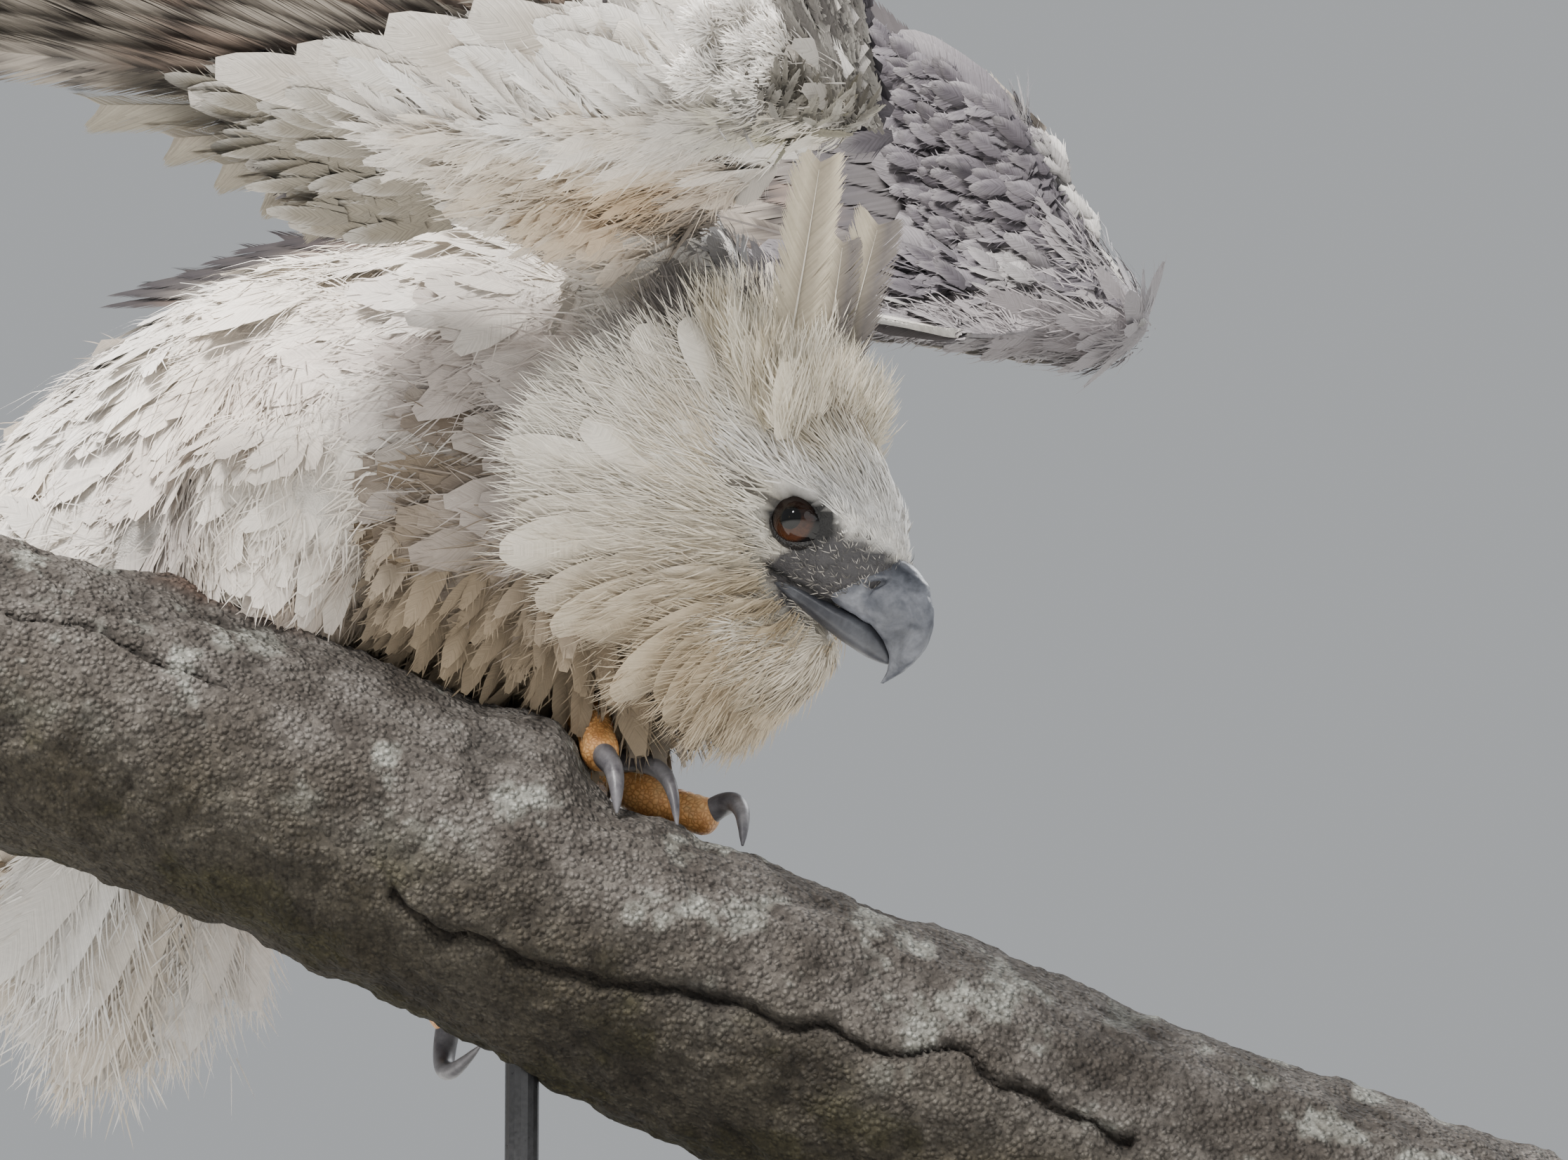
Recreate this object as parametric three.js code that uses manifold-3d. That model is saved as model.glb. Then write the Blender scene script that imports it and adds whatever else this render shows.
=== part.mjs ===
// A harpy eagle in immature plumage, life size, leaning forward on a sloping length of branch with both
// wings half open. Millimetres, +Z up, +X the way the bird faces, the origin under the middle of the base.
import * as THREE from "three";
import { mergeVertices } from "three/addons/utils/BufferGeometryUtils.js";
import Module from "manifold-3d";

const wasm = await Module();
wasm.setup();

// Driving dimensions
const GAP = 0.35;
const SLIVER = 0.12;
const BRANCH_RADIUS = 71;
const BRANCH_LEFT = -322;
const BRANCH_RIGHT = 520;
const BASE_SIZE = [600, 420, 22];
const ROD_RADIUS = 8;
const ROD_X = [-18, 228];
const HEADING = THREE.MathUtils.degToRad(14);
const HEAD_YAW = THREE.MathUtils.degToRad(30);
const HEAD_PITCH = THREE.MathUtils.degToRad(33);
const EYE_RADIUS = 16.2;
const EYE_OFFSET = 20.5;
const TAIL_LENGTH = 385;
const TAIL_FEATHERS = 12;
const PRIMARIES = 10;
const SECONDARIES = 8;
const TERTIALS = 3;
const LONGEST_PRIMARY = 500;
const SECONDARY_LENGTH = 350;
const FLIGHT_ROLL = 0.18;
const COVERT_ROLL = 0.09;
const CREST_FEATHERS = 6;
const CREST_LENGTH = 96;
const TOE_RADIUS = 10.5;
const FOOT_LIFT = 20;

// Colours of the plumage and the bare parts
const PALE = 0xe1dcd7;
const CREAM = 0xded6ca;
const GREY = 0x96918e;
const HORN = 0x4b4e58;
const ORANGE = 0xcd8c4b;
const BARK = 0x87827d;
const PAINT = 0x2e2e30;

const v = (x, y, z) => new THREE.Vector3(x, y, z);
const WORLD_UP = v(0, 0, 1);
const mix = THREE.MathUtils.lerp;

// The body's own axes: the way it faces, its right side and up
const ahead = v(Math.cos(HEADING), -Math.sin(HEADING), 0);
const toRight = v(-Math.sin(HEADING), -Math.cos(HEADING), 0);

// A vector from its parts ahead, to one side of the bird and up
function bodyVector(forward, outward, up, side) {
  return ahead.clone().multiplyScalar(forward)
    .addScaledVector(toRight, outward * side)
    .addScaledVector(WORLD_UP, up);
}

// Repeatable random numbers from 0 to 1
function randomSource(seed) {
  let state = seed;
  return () => {
    state = (state * 1664525 + 1013904223) % 4294967296;
    return state / 4294967296;
  };
}

// A closed solid from a geometry, with its faces pointing out
function solid(geometry) {
  const bare = geometry.clone();
  bare.deleteAttribute("normal");
  bare.deleteAttribute("uv");
  const merged = mergeVertices(bare, 1e-4);
  const points = merged.attributes.position.array;
  const corners = Uint32Array.from(merged.index.array);
  let volume = 0;
  for (let i = 0; i < corners.length; i += 3) {
    const a = v(...points.slice(3 * corners[i], 3 * corners[i] + 3));
    const b = v(...points.slice(3 * corners[i + 1], 3 * corners[i + 1] + 3));
    const c = v(...points.slice(3 * corners[i + 2], 3 * corners[i + 2] + 3));
    volume += a.dot(b.cross(c));
  }
  if (volume < 0) {
    for (let i = 0; i < corners.length; i += 3) {
      [corners[i], corners[i + 1]] = [corners[i + 1], corners[i]];
    }
  }
  const mesh = new wasm.Mesh({ numProp: 3, vertProperties: Float32Array.from(points), triVerts: corners });
  return new wasm.Manifold(mesh);
}

// One closed body from several: the largest, after they are joined
function fuse(solids) {
  const pieces = wasm.Manifold.union(solids).decompose();
  return pieces.reduce((best, piece) => (piece.volume() > best.volume() ? piece : best));
}

function gridGeometry(points, triangles) {
  const geometry = new THREE.BufferGeometry();
  geometry.setAttribute("position", new THREE.Float32BufferAttribute(points.flatMap((p) => p.toArray()), 3));
  geometry.setIndex(triangles);
  return geometry;
}

// A round body along a smooth line: radii holds a half width and a half height at each point of the line
function loft({ line, radii, up = WORLD_UP, sides = 14, steps = 8, dome = 0.6, endDome = dome, grow = 0 }) {
  const path = new THREE.CatmullRomCurve3(line, false, "centripetal");
  const size = new THREE.CatmullRomCurve3(radii.map(([a, b]) => v(a, b, 0)), false, "catmullrom");
  const rings = [];
  const addRing = (t, shrink, shift) => {
    const tangent = path.getTangent(t);
    const across = v(0, 0, 0).crossVectors(tangent, up).normalize();
    const over = v(0, 0, 0).crossVectors(across, tangent).normalize();
    const reach = size.getPoint(t);
    rings.push({
      centre: path.getPoint(t).addScaledVector(tangent, shift),
      across: across.multiplyScalar((reach.x + grow) * shrink),
      over: over.multiplyScalar((reach.y + grow) * shrink),
    });
  };
  const first = size.getPoint(0);
  const last = size.getPoint(1);
  const startReach = Math.min(first.x, first.y) * dome + grow;
  const endReach = Math.min(last.x, last.y) * endDome + grow;
  addRing(0, 0.62, -startReach * 0.78);
  for (let i = 0; i <= steps; i++) {
    addRing(i / steps, 1, 0);
  }
  addRing(1, 0.62, endReach * 0.78);
  const points = [];
  for (const ring of rings) {
    for (let k = 0; k < sides; k++) {
      const angle = (2 * Math.PI * k) / sides;
      points.push(ring.centre.clone().addScaledVector(ring.across, Math.cos(angle))
        .addScaledVector(ring.over, Math.sin(angle)));
    }
  }
  const startPole = points.push(path.getPoint(0).addScaledVector(path.getTangent(0), -startReach)) - 1;
  const endPole = points.push(path.getPoint(1).addScaledVector(path.getTangent(1), endReach)) - 1;
  const triangles = [];
  for (let r = 0; r + 1 < rings.length; r++) {
    for (let k = 0; k < sides; k++) {
      const a = r * sides + k;
      const b = r * sides + ((k + 1) % sides);
      triangles.push(a, b, a + sides, b, b + sides, a + sides);
    }
  }
  const lastRing = (rings.length - 1) * sides;
  for (let k = 0; k < sides; k++) {
    const next = (k + 1) % sides;
    triangles.push(startPole, next, k);
    triangles.push(endPole, lastRing + k, lastRing + next);
  }
  return solid(gridGeometry(points, triangles));
}

// A closed plate on a grid of points, split into triangles alike on both faces
function plate(grid, normals, thickness) {
  const rows = grid.length;
  const columns = grid[0].length;
  const points = [];
  for (const face of [0.5, -0.5]) {
    for (let i = 0; i < rows; i++) {
      for (let j = 0; j < columns; j++) {
        points.push(grid[i][j].clone().addScaledVector(normals[i], face * thickness[i]));
      }
    }
  }
  const triangles = [];
  const under = rows * columns;
  const at = (i, j) => i * columns + j;
  for (let i = 0; i + 1 < rows; i++) {
    for (let j = 0; j + 1 < columns; j++) {
      const [a, b, c, d] = [at(i, j), at(i, j + 1), at(i + 1, j), at(i + 1, j + 1)];
      triangles.push(a, b, c, b, d, c);
      triangles.push(under + a, under + c, under + b, under + b, under + c, under + d);
    }
  }
  const rim = [];
  for (let j = 0; j < columns; j++) rim.push(at(0, j));
  for (let i = 1; i < rows; i++) rim.push(at(i, columns - 1));
  for (let j = columns - 2; j >= 0; j--) rim.push(at(rows - 1, j));
  for (let i = rows - 2; i > 0; i--) rim.push(at(i, 0));
  rim.forEach((a, k) => {
    const b = rim[(k + 1) % rim.length];
    triangles.push(a, under + a, b, b, under + a, under + b);
  });
  return solid(gridGeometry(points, triangles));
}

// How wide a feather is along its length: narrow quill, full blade, then round to the tip's own width
function bladeWidth(t, quill, point, tip) {
  const rise = THREE.MathUtils.smoothstep(t, 0, 0.35);
  const fall = Math.sqrt(Math.max(0, 1 - Math.max(0, (t - point) / (1 - point)) ** 2));
  return mix(quill, 1, rise) * mix(tip, 1, fall);
}

// One feather as a thin curved vane. along is the way its shaft leaves the root and face the way its
// outer side looks; bend bows it away from that face and sweep bows it to one side, both in mm at the tip.
function vane({
  root, along, face, length, width, bend = 0, sweep = 0, roll = 0, quill = 0.35, point = 0.6,
  tip = 0.45, steps = 3, thick = [1.6, 0.7],
}) {
  const shaft = along.clone().normalize();
  const side = v(0, 0, 0).crossVectors(shaft, face).normalize().applyAxisAngle(shaft, roll);
  const outer = v(0, 0, 0).crossVectors(side, shaft).normalize();
  const grid = [];
  const normals = [];
  const thickness = [];
  for (let i = 0; i <= steps; i++) {
    const t = i / steps;
    const middle = root.clone().addScaledVector(shaft, length * t)
      .addScaledVector(outer, -bend * t * t)
      .addScaledVector(side, sweep * t * t);
    const half = (width / 2) * bladeWidth(t, quill, point, tip);
    grid.push([middle.clone().addScaledVector(side, -half), middle.clone().addScaledVector(side, half)]);
    normals.push(outer.clone().multiplyScalar(length).addScaledVector(shaft, 2 * bend * t).normalize());
    thickness.push(mix(thick[0], thick[1], t));
  }
  return plate(grid, normals, thickness);
}

// A value from a table of [position, value] pairs, values being numbers or vectors
function between(table, u) {
  let k = 0;
  while (k + 2 < table.length && u > table[k + 1][0]) k++;
  const [u0, a] = table[k];
  const [u1, b] = table[k + 1];
  const f = THREE.MathUtils.clamp((u - u0) / (u1 - u0), 0, 1);
  return a.isVector3 ? a.clone().lerp(b, f) : mix(a, b, f);
}

const group = new THREE.Group();

function addNode(name, body, color, roughness = 0.85, metalness = 0) {
  const mesh = body.getMesh();
  const geometry = new THREE.BufferGeometry();
  geometry.setAttribute("position", new THREE.Float32BufferAttribute(mesh.vertProperties, 3));
  geometry.setIndex(Array.from(mesh.triVerts));
  const node = new THREE.Mesh(geometry, new THREE.MeshStandardMaterial({ color, roughness, metalness }));
  node.name = name;
  group.add(node);
}

// What stays of a body beside its neighbours, as one closed piece
function cutClear(body, neighbours) {
  let rest = body;
  for (const neighbour of neighbours) {
    rest = rest.subtract(neighbour);
  }
  return fuse([rest]).simplify(SLIVER);
}

// The perch: a length of branch that slopes down to the right
const branchLine = new THREE.CatmullRomCurve3([
  v(BRANCH_LEFT, 0, 467),
  v(-166, 0, 420),
  v(-33, 0, 363),
  v(72, 0, 309),
  v(230, 0, 241),
  v(468, 0, 156),
  v(BRANCH_RIGHT, 0, 138),
], false, "centripetal");

// The place on the branch's middle line at a given x, with its direction and the upright across it
function branchAt(x) {
  let low = 0;
  let high = 1;
  for (let i = 0; i < 30; i++) {
    const middle = (low + high) / 2;
    if (branchLine.getPoint(middle).x < x) low = middle;
    else high = middle;
  }
  const tangent = branchLine.getTangent(low);
  return { centre: branchLine.getPoint(low), tangent, upright: v(-tangent.z, 0, tangent.x) };
}

// A point round the branch: angle 0 on top, a quarter turn at the back
function roundBranch(x, degrees, radius) {
  const { centre, upright } = branchAt(x);
  const angle = THREE.MathUtils.degToRad(degrees);
  return centre.clone().addScaledVector(upright, Math.cos(angle) * radius)
    .add(v(0, Math.sin(angle) * radius, 0));
}

// The bark rises to a knob and dips beside it where the right foot holds on, in mm by x
const BARK_RISE = [[-76, 0], [-50, 6], [-36, 8], [-26, 3], [-12, -12], [1, -15], [18, -10], [42, -8],
  [62, -4], [130, -2], [180, 0]];
const RING_X = [-322, -235, -150, -90, -62, -48, -34, -23, -11, 2, 18, 42, 80, 150, 230, 320, 420, 520];

function barkRadius(x, degrees) {
  const upward = Math.max(0, Math.cos(THREE.MathUtils.degToRad(degrees)));
  return BRANCH_RADIUS + upward ** 2 * between(BARK_RISE, x);
}

function branchSolid(grow) {
  const sides = 16;
  const rings = RING_X.length - 1;
  const points = [];
  for (let i = 0; i <= rings; i++) {
    const t = (RING_X[i] - BRANCH_LEFT) / (BRANCH_RIGHT - BRANCH_LEFT);
    const x = mix(BRANCH_LEFT - grow, BRANCH_RIGHT + grow, t);
    const clamped = THREE.MathUtils.clamp(x, BRANCH_LEFT + 1, BRANCH_RIGHT - 1);
    for (let k = 0; k < sides; k++) {
      const degrees = (360 * k) / sides;
      const knots = Math.sin(7 * t + 0.03 * degrees) + Math.sin(17 * t + 2 + 0.035 * degrees);
      const point = roundBranch(clamped, degrees, barkRadius(clamped, degrees) + grow + 1.1 * knots);
      points.push(point.addScaledVector(branchAt(clamped).tangent, x - clamped));
    }
  }
  const left = points.push(branchAt(BRANCH_LEFT + 1).centre.addScaledVector(
    branchAt(BRANCH_LEFT + 1).tangent, -1 - grow)) - 1;
  const right = points.push(branchAt(BRANCH_RIGHT - 1).centre.addScaledVector(
    branchAt(BRANCH_RIGHT - 1).tangent, 1 + grow)) - 1;
  const triangles = [];
  for (let i = 0; i < rings; i++) {
    for (let k = 0; k < sides; k++) {
      const next = (k + 1) % sides;
      const [a, b, c, d] = [i * sides + k, i * sides + next, (i + 1) * sides + k, (i + 1) * sides + next];
      triangles.push(a, b, c, b, d, c);
    }
  }
  for (let k = 0; k < sides; k++) {
    const next = (k + 1) % sides;
    triangles.push(left, next, k, right, rings * sides + k, rings * sides + next);
  }
  return solid(gridGeometry(points, triangles));
}

// Trunk, neck and legs as round bodies, each also wanted a little larger to clear its neighbours
const trunk = (grow) => loft({
  line: [v(62, 38, 588), v(8, 50, 574), v(-62, 74, 574), v(-128, 98, 562), v(-190, 122, 530),
    v(-246, 144, 477), v(-283, 160, 420)],
  radii: [[74, 84], [102, 127], [111, 117], [107, 116], [95, 110], [78, 100], [46, 66]],
  sides: 18, steps: 9, dome: 0.7, endDome: 0.5, grow,
});

const neck = (grow) => loft({
  line: [v(40, 38, 612), v(62, 20, 598), v(84, 2, 574)],
  radii: [[66, 68], [62, 66], [54, 58]],
  sides: 12, steps: 4, dome: 0.5, grow,
});

// Toes are placed on the branch by x and by degrees round it, their claws' tips too; arch is in mm
const legs = {
  right: {
    hip: v(-132, 26, 566),
    thigh: v(-134, 24, 508),
    ankle: v(-122, 112, 470),
    foot: { x: -50, angle: 38 },
    toes: [
      { name: "inner", x: -15, angle: 20, tip: [26, -23], arch: 20 },
      { name: "middle", x: 33, angle: 14, tip: [55, -10], arch: 15 },
      { name: "outer", x: -15, angle: -9, tip: [3, -38], arch: 4 },
      { name: "hind", x: -84, angle: 62, tip: [-102, 74], arch: 8 },
    ],
  },
  left: {
    hip: v(-104, 164, 560),
    thigh: v(-102, 182, 500),
    ankle: v(-120, 160, 436),
    foot: { x: -80, angle: 104 },
    toes: [
      { name: "inner", x: -66, angle: 128, tip: [-62, 146], arch: 9 },
      { name: "middle", x: -26, angle: 141, tip: [-5, 170], arch: 24 },
      { name: "outer", x: -20, angle: 106, tip: [4, 106], arch: 9 },
      { name: "hind", x: -124, angle: 100, tip: [-152, 98], arch: 9 },
    ],
  },
};

const thigh = (leg, grow) => loft({
  line: [leg.hip, leg.thigh, leg.ankle],
  radii: [[58, 62], [52, 55], [22, 24]],
  up: ahead, sides: 14, steps: 5, dome: 0.5, grow,
});

// A point some millimetres off the bark
function onBark(x, degrees, lift) {
  return roundBranch(x, degrees, barkRadius(x, degrees) + lift);
}

function footCentre(leg) {
  return onBark(leg.foot.x, leg.foot.angle, FOOT_LIFT);
}

const tarsus = (leg, grow) => loft({
  line: [leg.ankle, leg.ankle.clone().lerp(footCentre(leg), 0.5), footCentre(leg)],
  radii: [[12, 12], [10, 10.5], [13, 13]],
  up: v(0, 1, 0), sides: 8, steps: 3, dome: 0.5, grow,
});

// Where a toe's middle line runs, lifted off the bark
const TOE_LIFT = TOE_RADIUS + 2.6;

function toeSolid(leg, toe) {
  const line = [0, 0.33, 0.66, 1].map((t) => onBark(
    mix(leg.foot.x, toe.x, t),
    mix(leg.foot.angle, toe.angle, t),
    TOE_LIFT + (t < 1 && t > 0 ? 3 : 0),
  ));
  const radii = [[12, 11], [10.8, 10.3], [10, 9.8], [8.6, 9.2]];
  return loft({ line, radii, up: v(0, 1, 0.01), sides: 6, steps: 3, dome: 0.7 });
}

// A claw leaves its toe, arches and comes down to the bark at its tip
function clawSolid(toe, grow) {
  const place = (t, lift) => onBark(mix(toe.x, toe.tip[0], t), mix(toe.angle, toe.tip[1], t), lift);
  const line = [
    place(-0.02, TOE_LIFT + 1),
    place(0.42, TOE_LIFT + 0.8 * toe.arch),
    place(0.86, TOE_LIFT),
    place(1, 3.2),
  ];
  return loft({
    line, radii: [[6.4, 7.6], [5, 6.2], [3.2, 4], [0.9, 1.1]], up: v(0, 1, 0.01),
    sides: 6, steps: 4, dome: 0.8, endDome: 1.2, grow,
  });
}

// The head's own frame: forward along the bill's line, outward to the bird's right, up over the crown
const headCentre = v(125, -45, 524);
const headForward = v(
  Math.cos(HEAD_YAW) * Math.cos(HEAD_PITCH),
  -Math.sin(HEAD_YAW) * Math.cos(HEAD_PITCH),
  -Math.sin(HEAD_PITCH),
);
const headRight = v(-Math.sin(HEAD_YAW), -Math.cos(HEAD_YAW), 0);
const headUp = v(0, 0, 0).crossVectors(headRight, headForward);

function headVector(forward, right, up) {
  return headForward.clone().multiplyScalar(forward)
    .addScaledVector(headRight, right).addScaledVector(headUp, up);
}

function headPoint(forward, right, up) {
  return headCentre.clone().add(headVector(forward, right, up));
}

const upperBill = (grow) => loft({
  line: [headPoint(24, 0, -12), headPoint(36, 0, -10.5), headPoint(50, 0, -11), headPoint(64, 0, -17),
    headPoint(71.5, 0, -29), headPoint(70.5, 0, -40), headPoint(66.5, 0, -48)],
  radii: [[17, 13], [17, 15.5], [15.5, 17], [12, 14.5], [7.8, 9.2], [4.4, 5], [1, 1.1]],
  up: headUp, sides: 10, steps: 10, dome: 0.3, endDome: 1, grow,
});

const lowerBill = (grow) => loft({
  line: [headPoint(6, 0, -34), headPoint(30, 0, -33.5), headPoint(50, 0, -35), headPoint(63, 0, -38)],
  radii: [[19, 6], [15, 6.5], [10, 6], [3, 2]],
  up: headUp, sides: 10, steps: 6, dome: 0.3, endDome: 1, grow,
});

// A nostril is a slanting slot in each side of the upper bill
function nostril(side) {
  const slot = new THREE.SphereGeometry(1, 8, 6);
  slot.scale(2.4, 4, 5.2);
  slot.rotateY(0.9);
  const basis = new THREE.Matrix4().makeBasis(headForward, headRight, headUp);
  slot.applyMatrix4(basis.setPosition(headPoint(45, 15.5 * side, -7)));
  return solid(slot);
}

function eyeBall(side, grow) {
  const ball = new THREE.SphereGeometry(EYE_RADIUS + grow, 12, 8);
  ball.rotateX(Math.PI / 2);
  ball.translate(...headPoint(0, EYE_OFFSET * side, 0).toArray());
  return solid(ball);
}

function lidRing(side) {
  const outward = headVector(0.18, side, 0.02).normalize();
  const middle = headPoint(0, EYE_OFFSET * side, 0).addScaledVector(outward, 9.5);
  const ring = new THREE.TorusGeometry(13.2, 3, 4, 12);
  ring.applyQuaternion(new THREE.Quaternion().setFromUnitVectors(v(0, 0, 1), outward));
  ring.translate(...middle.toArray());
  return solid(ring);
}

function browRidge(side) {
  return loft({
    line: [headPoint(-40, 33 * side, 13), headPoint(-14, 38 * side, 20), headPoint(10, 34 * side, 19),
      headPoint(30, 22 * side, 11)],
    radii: [[8, 6], [8, 5.5], [7, 5], [5, 4]],
    up: headUp, sides: 6, steps: 4, dome: 0.7,
  });
}

// The line of the mouth runs on from the bill to the gape under the eye
function gapeSlit(side) {
  const back = headPoint(-8, 26 * side, -27.5);
  const front = headPoint(26, 19 * side, -27.2);
  const inward = headVector(0, -7 * side, 0);
  const outward = headVector(0, 9 * side, 0);
  const grid = [back, front].map((point) => [point.clone().add(outward), point.clone().add(inward)]);
  return plate(grid, [headUp, headUp], [0.9, 0.9]);
}

// Skull, cheeks and the core of the ruff, before the feathers are added
function headCore() {
  const skull = loft({
    line: [headPoint(-84, 0, 6), headPoint(-60, 0, 10), headPoint(-30, 0, 6), headPoint(0, 0, 2),
      headPoint(26, 0, -3), headPoint(40, 0, -4)],
    radii: [[66, 56], [61, 55], [49, 45], [36, 38], [25, 30], [16, 20]],
    up: headUp, sides: 14, steps: 6, dome: 0.4, endDome: 0.5,
  });
  const throat = loft({
    line: [headPoint(-60, 0, -42), headPoint(-25, 0, -62), headPoint(8, 0, -62), headPoint(30, 0, -50)],
    radii: [[50, 44], [42, 40], [30, 30], [15, 12]],
    up: headUp, sides: 10, steps: 4, dome: 0.5,
  });
  return [skull, throat];
}

// Ruff feathers stand round the face in tiers: turn 0 is the crown, a quarter turn the bird's right cheek
const RUFF_TIP_RADIUS = [[0, 84], [40, 90], [75, 99], [105, 104], [140, 116], [165, 118], [180, 110]];
const RUFF_TIP_FORWARD = [[0, -84], [40, -92], [75, -100], [105, -105], [125, -96], [150, -48], [165, 2],
  [180, 18]];
const FAR_RUFF_SPREAD = 1.14;
const RUFF_TIER_GAP = 15;
const RUFF_ROOT_FORWARD = [[0, -40], [60, -38], [110, -30], [145, -12], [180, 16]];
const RUFF_ROOT_RADIUS = [[0, 38], [60, 38], [110, 40], [145, 42], [180, 46]];

function ruffPoint(turn, radius, forward) {
  const angle = THREE.MathUtils.degToRad(turn);
  return headPoint(forward, Math.sin(angle) * radius, Math.cos(angle) * radius);
}

function ruffVanes() {
  const random = randomSource(11);
  const vanes = [];
  const tiers = [
    { count: 12, reach: 1, start: 0.3, width: 64, steps: 3 },
    { count: 8, reach: 0.8, start: 0.1, width: 66, steps: 2 },
  ];
  tiers.forEach((tier, level) => {
    for (let k = 0; k < tier.count; k++) {
      const turn = -180 + (360 * (k + 0.5 * (level % 2))) / tier.count;
      const fold = Math.abs(turn);
      const root = ruffPoint(turn, between(RUFF_ROOT_RADIUS, fold), between(RUFF_ROOT_FORWARD, fold));
      const farSide = turn < -30 && turn > -110 ? FAR_RUFF_SPREAD : 1;
      const tip = ruffPoint(turn, farSide * between(RUFF_TIP_RADIUS, fold), between(RUFF_TIP_FORWARD, fold));
      const along = tip.clone().sub(root);
      const length = along.length();
      const start = root.clone().addScaledVector(along, tier.start * 0.5);
      const reach = length * tier.reach * (0.94 + 0.1 * random()) - length * tier.start * 0.5;
      const outward = ruffPoint(turn, 1, 0).sub(headCentre);
      const face = outward.multiplyScalar(0.6).add(headForward);
      vanes.push(vane({
        root: start.addScaledVector(headForward, RUFF_TIER_GAP * level), along, face, length: reach,
        width: tier.width * (0.92 + 0.16 * random()), roll: 0.2, bend: 4 + 8 * random(),
        sweep: 8 * (random() - 0.5),
        quill: 0.5, point: 0.5, tip: 0.6, steps: tier.steps, thick: [2.2, 1],
      }));
    }
  });
  return vanes;
}

// Crest feathers fan from the back of the crown: two long ones stand over a row of short ones
const LONG_CREST = [
  { root: headPoint(-50, 14, 48), tip: headPoint(-89, 12, 150), width: 30 },
  { root: headPoint(-48, -30, 46), tip: headPoint(-79, -44, 133), width: 30 },
];

function crestVanes() {
  const random = randomSource(23);
  const vanes = LONG_CREST.map(({ root, tip, width }) => vane({
    root, along: tip.clone().sub(root), face: headForward, length: tip.distanceTo(root), width,
    bend: 3, quill: 0.6, point: 0.5, tip: 0.3, steps: 3, thick: [2, 0.9],
  }));
  for (let k = 0; k < CREST_FEATHERS; k++) {
    const spread = (k / (CREST_FEATHERS - 1)) * 2 - 1;
    vanes.push(vane({
      root: headPoint(-42 - 14 * (k % 2), 38 * spread, 44 - 6 * spread * spread),
      along: headVector(-0.3 - 0.25 * (k % 2), 0.42 * spread, 1), face: headForward,
      length: CREST_LENGTH * (0.52 + 0.18 * random()), width: 25, roll: 0.12, bend: -3 + 6 * random(),
      quill: 0.7, point: 0.5, steps: 2, thick: [2, 0.9],
    }));
  }
  return vanes;
}

// The wing skeleton: each shoulder, elbow, wrist and hand tip, and the way the feathers leave the bone
const wings = {
  right: {
    side: 1,
    shoulder: v(46, -24, 655),
    elbow: v(-59, -157, 697),
    wrist: v(129, -262, 676),
    hand: v(116, -288, 778),
    front: [v(86, -96, 676), v(122, -190, 674)],
    fleece: 0,
  },
  left: {
    side: -1,
    shoulder: v(78, 126, 656),
    elbow: v(66, 288, 690),
    wrist: v(276, 300, 684),
    hand: v(234, 312, 792),
    front: [v(140, 190, 668), v(212, 262, 668)],
    fleece: 12,
  },
};

// Feather directions by place: 0 at the inmost tertial, 0.3 at the elbow, 0.68 at the wrist, 1 at the tip
const FEATHER_LIE = {
  1: [
    [0, bodyVector(-0.95, 0.02, -0.02, 1)],
    [0.3, bodyVector(-0.97, 0.1, 0.22, 1)],
    [0.68, bodyVector(-0.82, 0.12, 0.42, 1)],
    [1, bodyVector(-0.66, 0.16, 0.74, 1)],
  ],
  "-1": [
    [0, bodyVector(-0.95, 0.05, -0.06, -1)],
    [0.3, bodyVector(-0.95, 0.1, 0.12, -1)],
    [0.68, bodyVector(-0.86, 0.14, 0.36, -1)],
    [1, bodyVector(-0.8, 0.2, 0.58, -1)],
  ],
};
const FEATHER_LENGTH = {
  1: [[0, 100], [0.12, 120], [0.24, 150], [0.31, 265], [0.45, 320], [0.66, SECONDARY_LENGTH], [0.72, 390],
    [0.9, LONGEST_PRIMARY], [1, 430]],
  "-1": [[0, 230], [0.24, 300], [0.31, SECONDARY_LENGTH], [0.66, SECONDARY_LENGTH], [0.72, 390],
    [0.9, LONGEST_PRIMARY], [1, 430]],
};

function wingBone(wing) {
  const innermost = wing.elbow.clone().lerp(wing.shoulder, 0.55);
  return [[0, innermost], [0.3, wing.elbow], [0.68, wing.wrist], [1, wing.hand]];
}

// The way the wing's upper side looks at a place along it, square to the surface that the feathers make
function wingFace(wing, u) {
  const bone = wingBone(wing);
  const lie = between(FEATHER_LIE[wing.side], u).normalize();
  const blade = (at) => between(bone, at).addScaledVector(
    between(FEATHER_LIE[wing.side], at).normalize(), 0.45 * between(FEATHER_LENGTH[wing.side], at));
  const across = blade(Math.min(1, u + 0.06)).sub(blade(Math.max(0, u - 0.06)));
  return v(0, 0, 0).crossVectors(lie, across).multiplyScalar(wing.side).normalize();
}

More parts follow.
